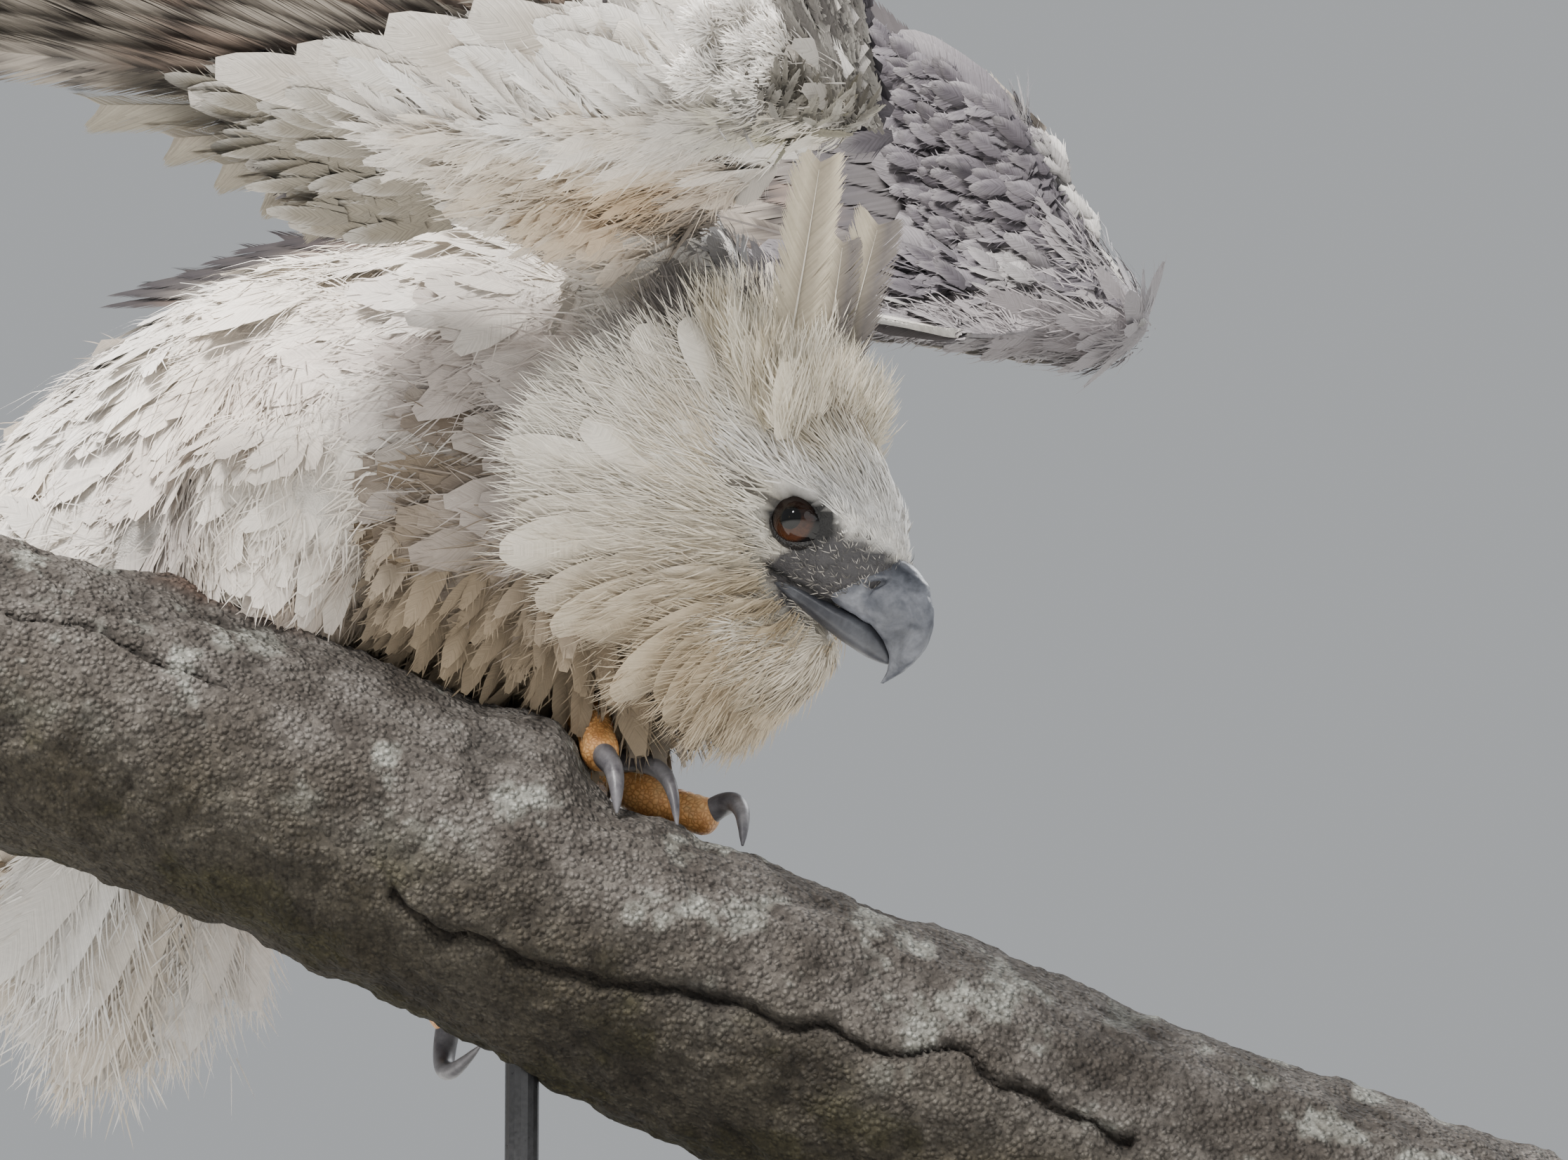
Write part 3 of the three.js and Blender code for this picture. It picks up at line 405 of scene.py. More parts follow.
WHITE, WARM, SHADE = srgb(240, 237, 233), srgb(206, 188, 162), srgb(112, 92, 64)
CREAM, TAN, OLIVE = srgb(234, 226, 209), srgb(182, 160, 124), srgb(126, 113, 76)
NAPE, MANTLE = srgb(92, 86, 86), srgb(158, 154, 152)
COVERT, COVERT_DARK, COVERT_EDGE = srgb(124, 119, 126), srgb(80, 75, 82), srgb(172, 168, 168)
MAUVE, STAIN, GREEN_STAIN = srgb(172, 158, 152), srgb(190, 150, 96), srgb(176, 168, 104)
# The next line's two colours are painted shade: the fold between breast and ruff, over partly brown feathers,
# and the gap under the near wing's front.
FOLD_SHADE, HOLLOW_SHADE = srgb(74, 58, 36), srgb(62, 58, 60)
LORES, LID = srgb(72, 70, 72), srgb(16, 15, 16)
BAR, RUFOUS, TIP_DARK = srgb(42, 34, 32), srgb(112, 66, 42), srgb(40, 34, 38)


def blend(a, b, f):
    return a + (b - a) * np.clip(np.asarray(f), 0, 1)[..., None]


def lores_mask(f, r, u):
    """1 on the bare dark skin between eye and bill, on both sides of the head."""
    inside = smooth(8.5, 5.5, u) * smooth(-45, -41, u)
    above = smooth(-3, 2, f - 0.88 * (u + 13.4) - 4.8)
    below = smooth(-3, 2, f + 7.5 + 0.86 * (u + 27.4))
    return inside * np.where(u > -27.4, above, below) * smooth(5, 9, np.abs(r)) * (f > -10)


def lid_mask(f, r, u):
    """1 on the black skin round the eye: round behind and drawn to a point in front."""
    along, across = 0.92 * f + 0.40 * u, 0.92 * u - 0.40 * f
    high = np.where(across > 0, 15.4, 14.4)
    before = (np.maximum(along, 0) / 24.0) ** 1.6 + (across / high) ** 2
    behind = (np.minimum(along, 0) / 15.0) ** 2 + (across / high) ** 2
    return smooth(1.16, 0.9, np.where(along > 0, before, behind)) * (np.abs(r) > 14)


def crease_shade_mask(f, r, u):
    """1 along the painted shade of the slit that runs back from the eye under the brow."""
    line = smooth(3.4, 1.0, np.abs(u + 0.18 * f + 0.4))
    return line * smooth(-40, -24, f) * smooth(-8, -12, f) * (np.abs(r) > 14)


def mouth_mask(f, r, u):
    """1 along the dark crease that carries the mouth back into the face."""
    return smooth(2.0, 1.0, np.abs(u + 27.3)) * smooth(-10, -7, f) * smooth(34, 30, f) * (np.abs(r) > 8)


# Soft patches of colour on the near side: middle (x, z), reach (x, z), colour and strength. The dark brown
# fold patches are painted shade in the fold between breast and ruff, over partly brown feathers; the others
# are the plumage's own mauve and tan.
BODY_PATCHES = [
    ((-20, 562), (20, 44), FOLD_SHADE, 0.9), ((-45, 530), (24, 36), FOLD_SHADE, 0.95), ((-42, 490), (34, 40), FOLD_SHADE, 0.95),
    ((-40, 452), (60, 24), FOLD_SHADE, 0.85), ((14, 475), (44, 44), FOLD_SHADE, 0.8), ((-30, 600), (40, 26), MAUVE, 0.6),
    ((-120, 615), (46, 22), MAUVE, 0.55), ((-185, 585), (50, 20), MAUVE, 0.45),
    ((-95, 470), (36, 16), WARM, 0.7), ((-118, 498), (34, 8), srgb(206, 186, 172), 0.5),
    ((-104, 480), (30, 6), srgb(206, 186, 172), 0.5),
]


def plumage(p, normal, region):
    """The colour of the small feathers at points on the skin."""
    f, r, u = head_place(p)
    head = np.isin(region, HEAD_REGIONS)
    n1, n2 = mottle(p, 55, 3), mottle(p, 17, 5)
    colour = blend(np.tile(WHITE, (len(p), 1)), WARM, 0.26 + 0.26 * n1 + 0.1 * n2)
    colour = blend(colour, MAUVE, 0.6 * smooth(-0.1, 0.5, mottle(p * [1, 1, 1.5], 62, 9)) * (~head)
                   * smooth(650, 610, p[:, 2]))
    near = smooth(0.2, -0.3, normal[:, 1]) * (~head) * (region != REGION["arm_right_0"])
    for (x, z), (wide, high), patch, strength in BODY_PATCHES:
        away = ((p[:, 0] - x) / wide) ** 2 + ((p[:, 2] - z) / high) ** 2
        colour = blend(colour, patch, strength * np.exp(-away) * near)
    # Painted shade: faces that look down are darkened toward a shaded brown.
    underside_shade = smooth(0.0, -0.8, normal[:, 2]) * (~head) * smooth(600, 540, p[:, 2])
    colour = blend(colour, mix(WARM, SHADE, 0.5), 0.75 * underside_shade)
    back = smooth(0.45, 0.9, normal[:, 2]) * smooth(-250, -120, p[:, 0]) * smooth(60, 100, p[:, 1])
    colour = blend(colour, MANTLE, 0.75 * back * (region == REGION["trunk"]))
    arm_left = (region >= REGION["arm_left_0"]) & (region <= REGION["arm_left_2"])
    colour = blend(colour, COVERT, 0.85 * arm_left)
    colour = blend(colour, COVERT_DARK * 0.6, 0.85 * arm_left * smooth(170, 130, p[:, 0]))
    cap = (region == REGION["arm_right_2"]) | ((region == REGION["arm_right_1"]) & (p[:, 0] > 96))
    leading = smooth(0.1, 0.7, normal @ AHEAD) * cap
    colour = blend(colour, srgb(134, 130, 128), 0.7 * leading * (0.75 + 0.5 * n2))
    nape = (region == REGION["neck"]) | (region == REGION["skull"])
    band = smooth(-66, -84, f) * smooth(-40, 0, u) * nape
    face = blend(np.tile(CREAM, (len(p), 1)), WHITE, 0.35 + 0.4 * n1)
    tan = smooth(-0.1, 0.5, mottle(p, 24, 12)) * smooth(6, -20, f) * smooth(-50, -10, u)
    face = blend(face, TAN, 0.6 * tan)
    # Painted shade: the face darkens to a warm olive tan toward the throat, lower down.
    face = blend(face, mix(TAN, OLIVE, 0.25), 0.6 * smooth(505, 435, p[:, 2]))
    face = blend(face, WHITE, 0.9 * np.exp(-(((u - 17 - 0.06 * f) / 6) ** 2)) * smooth(-52, -34, f))
    # Painted shade in the crease under the brow.
    face = blend(face, srgb(66, 58, 52), 0.8 * crease_shade_mask(f, r, u))
    face = blend(face, WHITE, 0.75 * smooth(0, 14, f) * smooth(2, 10, u))
    face = blend(face, LORES, lores_mask(f, r, u))
    face = blend(face, LID, np.maximum(lid_mask(f, r, u), mouth_mask(f, r, u)))
    return blend(np.where(head[:, None], face, colour), NAPE, 0.85 * band)


def stains_and_shade(p, colour):
    """Tan and greenish stains on the pale lining of the near wing, and a painted shadow in the gap under its
    front.
    """
    for middle, reach, stain, strength in (((46, -104, 665), 40, STAIN, 0.8),
                                           ((112, -246, 677), 21, GREEN_STAIN, 0.5),
                                           ((20, -120, 676), 50, WARM, 0.6)):
        away = np.sum(((p - np.array(middle, float)) / reach) ** 2, axis=-1)
        colour = blend(colour, stain, strength * np.exp(-away))
    # Painted shadow: a dark grey patch in the gap under the near wing's front.
    hollow = ((p[:, 0] - 84) / 30) ** 4 + ((p[:, 2] - 652) / 22) ** 4
    return blend(colour, HOLLOW_SHADE, 0.85 * np.exp(-hollow))


# Meshes


def make_object(name, points, tris, colours=None, normals=None, uvs=None, barbs=None):
    """A mesh object from arrays: points in mm, a linear colour and a UV for each point."""
    mesh = bpy.data.meshes.new(name)
    mesh.vertices.add(len(points))
    mesh.vertices.foreach_set("co", (np.asarray(points) * MM).astype(np.float32).ravel())
    tris = np.asarray(tris, np.int32)
    mesh.loops.add(tris.size)
    mesh.loops.foreach_set("vertex_index", tris.ravel())
    mesh.polygons.add(len(tris))
    mesh.polygons.foreach_set("loop_start", np.arange(0, tris.size, 3, dtype=np.int32))
    mesh.polygons.foreach_set("use_smooth", np.ones(len(tris), bool))
    mesh.update(calc_edges=True)
    if colours is not None:
        paint = mesh.color_attributes.new(name="plumage", type="FLOAT_COLOR", domain="POINT")
        rgba = np.c_[np.clip(colours, 0, 1), np.ones(len(points))].astype(np.float32)
        paint.data.foreach_set("color", rgba.ravel())
    if barbs is not None:
        lines = mesh.attributes.new(name="barbs", type="FLOAT", domain="POINT")
        lines.data.foreach_set("value", np.asarray(barbs, np.float32))
    if uvs is not None:
        layer = mesh.uv_layers.new(name="OFBake")
        layer.data.foreach_set("uv", np.asarray(uvs, np.float32)[tris.ravel()].ravel())
    if normals is not None:
        mesh.normals_split_custom_set_from_vertices(np.asarray(normals, np.float32))
    obj = bpy.data.objects.new(name, mesh)
    bpy.context.scene.collection.objects.link(obj)
    return obj


def finish(obj, material, slot, *nodes):
    """Give a piece its material, set it on the body and hide the frame's parts that it replaces."""
    obj.data.materials.clear()
    obj.data.materials.append(material)
    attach(obj, "root")
    if nodes:
        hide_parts(*nodes)
    return obj


# Cell sizes of the fused bodies, in metres
SKIN_VOXEL, TOE_VOXEL = 0.0048, 0.0014


def remesh(obj, voxel, rounds):
    """Fuse an object's bodies into one smooth closed mesh."""
    fuse = obj.modifiers.new("voxels", "REMESH")
    fuse.mode = "VOXEL"
    fuse.voxel_size = voxel
    smoother = obj.modifiers.new("smooth", "SMOOTH")
    smoother.factor = 0.5
    smoother.iterations = rounds
    graph = bpy.context.evaluated_depsgraph_get()
    mesh = bpy.data.meshes.new_from_object(obj.evaluated_get(graph))
    obj.modifiers.clear()
    obj.data = mesh
    return obj


def level(values, t):
    """One value or vector for each feather, shaped to go with places t on the feathers."""
    return values.reshape((len(values),) + (1,) * (t.ndim - 1) + values.shape[1:])


def ground(colour, t):
    """One colour at every place t."""
    return np.broadcast_to(colour, t.shape + (3,))


def patches(points, pattern, colours, normals, uvs, barbs):
    """A piece of many like patches: their points (..., count, 3) and the triangles of one patch."""
    shape, count = points.shape, points.shape[-2]
    starts = np.arange(points.size // (3 * count)) * count
    tris = (starts[:, None, None] + np.array(pattern)).reshape(-1, 3)
    flat, facing = points.reshape(-1, 3), np.broadcast_to(normals, shape).reshape(-1, 3)
    return (flat, tri_facing(flat, tris, facing), np.broadcast_to(colours, shape).reshape(-1, 3), facing,
            np.broadcast_to(uvs, shape[:-1] + (2,)).reshape(-1, 2),
            np.broadcast_to(barbs, shape[:-1]).ravel())


def tufts(rng, root, lie, normal, length, width, strands, colour, tip, uv, lift=0.16, curl=0.16, spread=0.4,
          strand=1.5, rings=3, dark=0.62):
    """Small soft feathers: each a fan of flat strands, thin and pointed, that lies along the body."""
    n = len(root)
    fan = (n, strands)
    side, lie, normal = unit(np.cross(normal, lie))[:, None], lie[:, None], normal[:, None]
    s = np.linspace(-1, 1, strands)[None] + rng.uniform(-0.18, 0.18, fan)
    length, width, curl, lift, strand = [np.broadcast_to(a, (n,))[:, None]
                                         for a in (length, width, curl, lift, strand)]
    length = length * (1 - 0.3 * s**2) * rng.uniform(0.8, 1.12, fan)
    start = (root[:, None] + side * (s * width * 0.32)[..., None]
             + lie * (rng.uniform(-0.12, 0.06, fan) * length)[..., None])
    angle = s * spread + rng.normal(0, 0.07, fan)
    way = lie * np.cos(angle)[..., None] + side * np.sin(angle)[..., None]
    roll = rng.normal(0, 0.35, fan)[..., None] + 0.25 * s[..., None]
    flat = unit(np.cross(np.broadcast_to(normal, way.shape), way))
    edge = flat * np.cos(roll) + normal * np.sin(roll)
    lift = lift * rng.uniform(0.7, 1.3, fan)
    half = strand * rng.uniform(0.35, 0.65, fan)
    own = unit(np.cross(way, edge))
    own *= np.sign(np.sum(own * normal, axis=-1, keepdims=True) + 1e-6)
    facing = unit(normal * 0.6 + own * 0.4 + way * 0.15)
    tone = rng.uniform(0.88, 1.1, fan)[..., None]
    colour, tip = np.broadcast_to(colour, (n, 3)), np.broadcast_to(tip, (n, 3))
    points, shades = [], []
    for r in range(rings + 1):
        t = r / rings
        rise = length * (lift * t * (1.35 - 0.35 * t) - curl * t * t)
        centre = start + way * (length * t)[..., None] + normal * rise[..., None]
        # Painted shade at the root: each strand darkens by dark toward its base; the lighter tip colour most
        # callers give is painted light shining through the tips.
        shade = mix(colour * dark, colour, smooth(0, 0.5, t))
        shade = mix(shade, tip, smooth(0.45, 1, t))[:, None] * tone
        w = edge * (half * (1 - 0.35 * t))[..., None]
        points += [centre] if r == rings else [centre - w, centre + w]
        shades += [shade] * (1 if r == rings else 2)
    pattern = [q for a in range(0, 2 * rings - 2, 2) for q in ((a, a + 1, a + 2), (a + 1, a + 3, a + 2))]
    pattern.append((2 * rings - 2, 2 * rings - 1, 2 * rings))
    ring_of = np.minimum(np.arange(2 * rings + 1) // 2, rings) / rings
    patch = np.stack(np.broadcast_arrays(ring_of * PATCH, (s[..., None] + 1) * PATCH / 2), axis=-1)
    return patches(np.stack(points, axis=2), pattern, np.stack(shades, axis=2), facing[:, :, None],
                   uv[:, None, None] + patch, rng.uniform(0, 900, fan)[..., None])


def tri_facing(points, tris, normals):
    """Triangles wound so that they look the same way as their points' normals."""
    a, b, c = points[tris[:, 0]], points[tris[:, 1]], points[tris[:, 2]]
    wrong = np.sum(np.cross(b - a, c - a) * normals[tris[:, 0]], axis=1) < 0
    tris = tris.copy()
    tris[wrong] = tris[wrong][:, [0, 2, 1]]
    return tris


def feather_axes(along, face, roll):
    """The shaft's way, the side and the outer face of feathers, as unit vectors."""
    way = unit(along)
    side = turn_about(unit(np.cross(way, face)), way, np.broadcast_to(roll, (len(way),)))
    return way, side, unit(np.cross(side, way))


def rounded_end(t, point):
    """1 along a feather and then a quarter round from point to its tip."""
    return np.sqrt(np.clip(1 - np.clip((t - point) / (1 - point), 0, 1) ** 2, 0, 1))


def vanes(rng, root, along, face, length, width, uv, paint, roll=0.0, bend=0.0, sweep=0.0, barbs=14,
          quill=0.3, point=0.6, tip=0.3, slant=1.1, cup=0.12, ragged=0.06, shaft=0.7, shaft_colour=None,
          patch=PATCH, fill=0.85):
    """Feathers with a shaft and rows of barbs to both sides, cut to a rounded outline."""
    n = len(root)
    length, width, bend, sweep = [np.broadcast_to(a, (n,)) for a in (length, width, bend, sweep)]
    shaft_way, side, outer = feather_axes(along, face, roll)

    def on_shaft(t):
        drop, lean = t**2 * level(bend, t), t**2 * level(sweep, t)
        return (level(root, t) + level(shaft_way, t) * (t * level(length, t))[..., None]
                - level(outer, t) * drop[..., None] + level(side, t) * lean[..., None])

    member = np.arange(n)[:, None, None]
    pieces = []
    for sign in (-1, 1):
        t0 = np.linspace(0.02, 0.96, barbs)[None] + rng.uniform(-0.3, 0.3, (n, barbs)) / barbs
        inside = np.clip(t0, 0, 1)
        blade = mix(quill, 1, smooth(0, 0.35, inside)) * mix(tip, 1, rounded_end(inside, point))
        w = blade * level(width, t0) / 2 * (1 + rng.normal(0, ragged, (n, barbs)))
        reach = np.minimum(slant * w / level(length, t0), 1.03 - t0) * (1 + rng.normal(0, ragged, (n, barbs)))
        half = fill * level(length, t0) / barbs
        points, places = [], []
        for tau in (0.0, 0.4, 0.78, 1.0):
            t, lateral = t0 + reach * tau, sign * w * tau**0.85
            centre = (on_shaft(t) + side[:, None] * lateral[..., None]
                      - outer[:, None] * (cup * w * tau**2)[..., None])
            h = (half * (1 - 0.45 * tau))[..., None] * shaft_way[:, None]
            points += [centre] if tau == 1.0 else [centre - h, centre + h]
            places += [np.stack([t, lateral], axis=-1)] * (1 if tau == 1.0 else 2)
        points, places = np.stack(points, axis=2), np.stack(places, axis=2)
        tone = rng.uniform(0.93, 1.06, (n, barbs))[..., None, None]
        t, lateral = places[..., 0], places[..., 1] / level(width / 2, points[..., 0])
        normal = unit(outer[:, None, None] - side[:, None, None] * (0.175 * lateral)[..., None])
        uvs = uv[:, None, None] + np.stack([t, lateral * 0.5 + 0.5], axis=-1) * patch
        pieces.append(patches(points, [(0, 1, 2), (1, 3, 2), (2, 3, 4), (3, 5, 4), (4, 5, 6)],
                              paint(t, lateral, member) * tone, normal, uvs,
                              rng.uniform(0, 900, (n, barbs))[..., None]))
    knots = 8
    t = np.broadcast_to(np.linspace(0, 0.94, knots), (n, knots))
    middle, thick = on_shaft(t), (shaft * (1.15 - t))[..., None]
    ridge = np.stack([middle - side[:, None] * thick, middle + outer[:, None] * thick * 1.1,
                      middle + side[:, None] * thick], axis=2)
    t = np.broadcast_to(t[..., None], (n, knots, 3))
    colour = paint(t, np.zeros(t.shape), member)
    if shaft_colour is not None:
        colour = mix(colour, shaft_colour, 0.75)
    pattern = [q for k in range(knots - 1) for a in (3 * k, 3 * k + 1) for q in ((a, a + 1, a + 3),
                                                                                 (a + 1, a + 4, a + 3))]
    uvs = uv[:, None, None] + np.stack([t, np.full(t.shape, 0.5)], -1) * patch
    pieces.append(patches(ridge.reshape(n, -1, 3), pattern, colour.reshape(n, -1, 3), outer[:, None],
                          uvs.reshape(n, -1, 2), 0.0))
    return merge(pieces)


def plumes(rng, root, along, face, length, width, uv, paint, roll=0.0, bend=0.0, sweep=0.0,
           rows=(0, 0.3, 0.55, 0.75, 0.9, 0.985), columns=(-1, -0.5, 0, 0.5, 1), fringe=16, fray=0.3,
           hair=0.6, quill=0.5, point=0.5, cup=0.15, soft=0.8, loose=0.12, ends=0.45, even=0.0):
    """Soft feathers: a thin cupped blade with a fringe of fine barbs round its tip and sides."""
    n = len(root)
    length, width, bend, sweep = [np.broadcast_to(a, (n,)).astype(float)
                                  for a in (length, width, bend, sweep)]
    shaft_way, side, outer = feather_axes(along, face, roll)
    shine = unit(mix(outer, unit(face), even))
    member = np.arange(n)[:, None, None]

    def spot(t, lateral):
        """Points at t along the shaft and lateral (mm) beside it."""
        t, lateral = np.broadcast_arrays(t, lateral)
        drop = t**2 * level(bend, t) + cup * lateral**2 / np.maximum(level(width, t) / 2, 1e-6)
        return (level(root, t) + level(shaft_way, t) * (t * level(length, t))[..., None]
                - level(outer, t) * drop[..., None]
                + level(side, t) * (lateral + t**2 * level(sweep, t))[..., None])

    def facing(across):
        return unit(level(shine, across) + level(side, across) * (0.9 * (1 - soft) * across)[..., None])

    r, c = len(rows), len(columns)
    t = np.broadcast_to(np.array(rows, float)[None, :, None], (n, r, c))
    across = np.broadcast_to(np.array(columns, float)[None, None, :], t.shape)
    outline = mix(quill, 1, smooth(0, 0.4, t)) * rounded_end(t, point)
    blade = spot(t, across * outline * 0.82 * (width / 2)[:, None, None])
    tone = rng.uniform(0.95, 1.04, (n, 1, 1, 1))
    colour = paint(t, across, member) * tone
    i, j = np.meshgrid(np.arange(r - 1), np.arange(c - 1), indexing="ij")
    a = (i * c + j).ravel()
    pattern = np.vstack([np.c_[a, a + 1, a + c], np.c_[a + 1, a + c + 1, a + c]])
    uvs = uv[:, None, None] + np.stack([t, across * 0.5 + 0.5], -1) * PATCH
    barb = rng.uniform(0, 900, (n, 1, 1)) + t * level(length, t)
    barb = barb - 0.9 * np.abs(across) * level(width / 2, t)
    pieces = [patches(blade.reshape(n, -1, 3), pattern, colour.reshape(n, -1, 3),
                      facing(across).reshape(n, -1, 3), uvs.reshape(n, -1, 2), barb.reshape(n, -1))]

    v = np.linspace(-1, 1, fringe)[None] + rng.uniform(-0.8, 0.8, (n, fringe)) / fringe
    v = np.clip(v, -1, 1)
    at_tip = np.abs(v) < ends
    turn = v / ends * math.pi / 2
    along_side = point - (np.abs(v) - ends) / (1 - ends) * (point - 0.2) - 0.06
    t = np.where(at_tip, point + (1 - point) * 0.8 * np.cos(turn), along_side)
    lateral = np.where(at_tip, np.sin(turn), np.sign(v))
    start = spot(t, mix(quill, 1, smooth(0, 0.4, t)) * 0.74 * lateral * (width / 2)[:, None])
    angle = np.where(at_tip, lateral * 0.55, np.sign(v) * 0.5) + rng.normal(0, 0.14, v.shape)
    way = level(shaft_way, v) * np.cos(angle)[..., None] + level(side, v) * np.sin(angle)[..., None]
    way = unit(way - level(outer, v) * (0.25 * np.abs(lateral) * cup / 0.15)[..., None]
               + level(outer, v) * rng.normal(0.02, loose, v.shape)[..., None])
    long = (fray * width[:, None] * rng.uniform(0.7, 1.45, v.shape))[..., None]
    flat = unit(np.cross(np.broadcast_to(level(outer, v), way.shape), way))
    edge = flat * (hair / 2 * rng.uniform(0.7, 1.3, v.shape))[..., None]
    middle, end = start + way * 0.55 * long, start + way * long - level(outer, v) * 0.1 * long
    strands = np.stack([start - edge, start + edge, middle - edge * 0.75, middle + edge * 0.75, end], axis=2)
    shade = paint(np.clip(t, 0, 1)[..., None], lateral[..., None] * 0.8, member) * tone
    shade = np.minimum(shade * rng.uniform(0.95, 1.1, v.shape)[..., None, None], 1)
    uvs = uv[:, None, None] + np.stack([t, lateral * 0.5 + 0.5], -1)[:, :, None] * PATCH
    pieces.append(patches(strands, [(0, 1, 2), (1, 3, 2), (2, 3, 4)], shade, facing(lateral)[:, :, None], uvs,
                          rng.uniform(0, 900, v.shape)[..., None]))
    return merge(pieces)


def merge(pieces):
    """One piece from several: points, triangles, colours, normals, UVs and barb places."""
    base = np.cumsum([0] + [len(piece[0]) for piece in pieces])
    tris = np.vstack([piece[1] + start for piece, start in zip(pieces, base)])
    rest = [np.concatenate([piece[k] for piece in pieces]) for k in (2, 3, 4, 5)]
    return (np.vstack([piece[0] for piece in pieces]), tris, *rest)


def coat_object(name, piece, material, slot, *nodes):
    return finish(make_object(name, *piece), material, slot, *nodes)


# Materials


class Nodes:
    """A short way to build a material's node tree."""

    def __init__(self, name):
        self.material = bpy.data.materials.new(name)
        self.material.use_nodes = True
        self.tree = self.material.node_tree
        self.shader = self.tree.nodes["Principled BSDF"]

    def feed(self, socket, value):
        if isinstance(value, bpy.types.NodeSocket):
            self.tree.links.new(value, socket)
        else:
            socket.default_value = value

    def add(self, kind, inputs=None, **settings):
        node = self.tree.nodes.new(kind)
        for key, value in settings.items():
            setattr(node, key, value)
        for key, value in (inputs or {}).items():
            self.feed(node.inputs[key], value)
        return node

    def set(self, **values):
        for key, value in values.items():
            self.feed(self.shader.inputs[key.replace("_", " ")], value)

    def place(self):
        return self.add("ShaderNodeTexCoord").outputs["Object"]

    def painted(self, name="plumage", output="Color"):
        """What a piece's own points carry."""
        return self.add("ShaderNodeAttribute", attribute_name=name).outputs[output]

    def noise(self, scale, detail=4.0, rough=0.55, distortion=0.0):
        inputs = {"Vector": self.place(), "Scale": scale, "Detail": detail, "Roughness": rough,
                  "Distortion": distortion}
        return self.add("ShaderNodeTexNoise", inputs).outputs["Fac"]

    def cells(self, scale, feature="F1"):
        inputs = {"Vector": self.place(), "Scale": scale}
        return self.add("ShaderNodeTexVoronoi", inputs, feature=feature).outputs["Distance"]

    def ramp(self, value, *stops):
        """A colour, or a grey for a single number, at each stop."""
        node = self.add("ShaderNodeValToRGB", {"Fac": value})
        elements = node.color_ramp.elements
        while len(elements) < len(stops):
            elements.new(0.5)
        for element, (at, colour) in zip(elements, stops):
            element.position = at
            element.color = (*(np.ones(3) * colour), 1)
        return node.outputs["Color"]

    def mix(self, a, b, fac, kind="MIX"):
        node = self.add("ShaderNodeMix", data_type="RGBA", blend_type=kind)
        for index, value in ((0, fac), (6, a), (7, b)):
            self.feed(node.inputs[index], value)
        return node.outputs[2]

    def times(self, a, b, fac=1.0):
        return self.mix(a, b, fac, "MULTIPLY")

    def maths(self, kind, a, b=0.0, clamp=False):
        return self.add("ShaderNodeMath", {0: a, 1: b}, operation=kind, use_clamp=clamp).outputs[0]

    def vector(self, kind, output, *values):
        return self.add("ShaderNodeVectorMath", dict(enumerate(values)), operation=kind).outputs[output]

    def bump(self, height, strength, distance):
        inputs = {"Height": height, "Strength": strength, "Distance": distance}
        return self.add("ShaderNodeBump", inputs).outputs["Normal"]


def feather_material(name, roughness=0.72, sheen=0.2, low=0.74, high=1.06):
    """Painted feather with the fine lines of its barbs."""
    n = Nodes(name)
    inputs = {"W": n.painted("barbs", "Fac"), "Scale": 0.75, "Detail": 2.0, "Roughness": 0.6}
    barbs = n.add("ShaderNodeTexNoise", inputs, noise_dimensions="1D").outputs["Fac"]
    lines = n.ramp(barbs, (0.32, (low, low * 0.99, low * 0.97)), (0.62, high))
    fine = n.ramp(n.noise(420, 3), (0.3, 0.92), (0.7, 1.02))
    n.set(Base_Color=n.times(n.times(n.painted(), lines), fine), Roughness=roughness, Sheen_Weight=sheen,
          Sheen_Roughness=0.5, Specular_IOR_Level=0.25, Normal=n.bump(barbs, 0.25, 0.0005))
    return n.material


def skin_material():
    n = Nodes("skin under the feathers")
    mottled = n.times(n.painted(), n.ramp(n.noise(120), (0.3, 0.7), (0.7, 1)))
    n.set(Base_Color=mottled, Roughness=0.6, Normal=n.bump(n.cells(900.0), 0.5, 0.0006))
    return n.material


def horn_material(name, dark, worn):
    n = Nodes(name)
    grain, fine = n.noise(60, 6, 0.6, distortion=0.6), n.noise(420, 4, 0.6)
    colour = n.ramp(grain, (0.3, dark), (0.62, mix(dark, worn, 0.5)), (0.82, worn))
    colour = n.times(colour, n.ramp(fine, (0.35, 0.75), (0.65, 1)), 0.8)
    n.set(Base_Color=colour, Roughness=n.ramp(fine, (0.2, 0.28), (0.8, 0.5)), Specular_IOR_Level=0.5,
          Normal=n.bump(n.mix(grain, fine, 0.5), 0.35, 0.0009))
    return n.material


def foot_material():
    n = Nodes("scaled foot skin")
    edge = n.maths("SMOOTH_MIN", n.cells(420.0, "DISTANCE_TO_EDGE"), 0.25)
    colour = n.ramp(n.noise(70, 5), (0.25, srgb(176, 120, 66)), (0.5, srgb(222, 166, 104)),
                    (0.8, srgb(236, 200, 150)))
    colour = n.times(colour, n.ramp(edge, (0.0, (0.55, 0.45, 0.36)), (0.18, 1)), 0.8)
    n.set(Base_Color=colour, Roughness=0.48, Subsurface_Weight=0.1, Subsurface_Scale=0.003,
          Normal=n.bump(edge, 0.7, 0.0012))
    return n.material


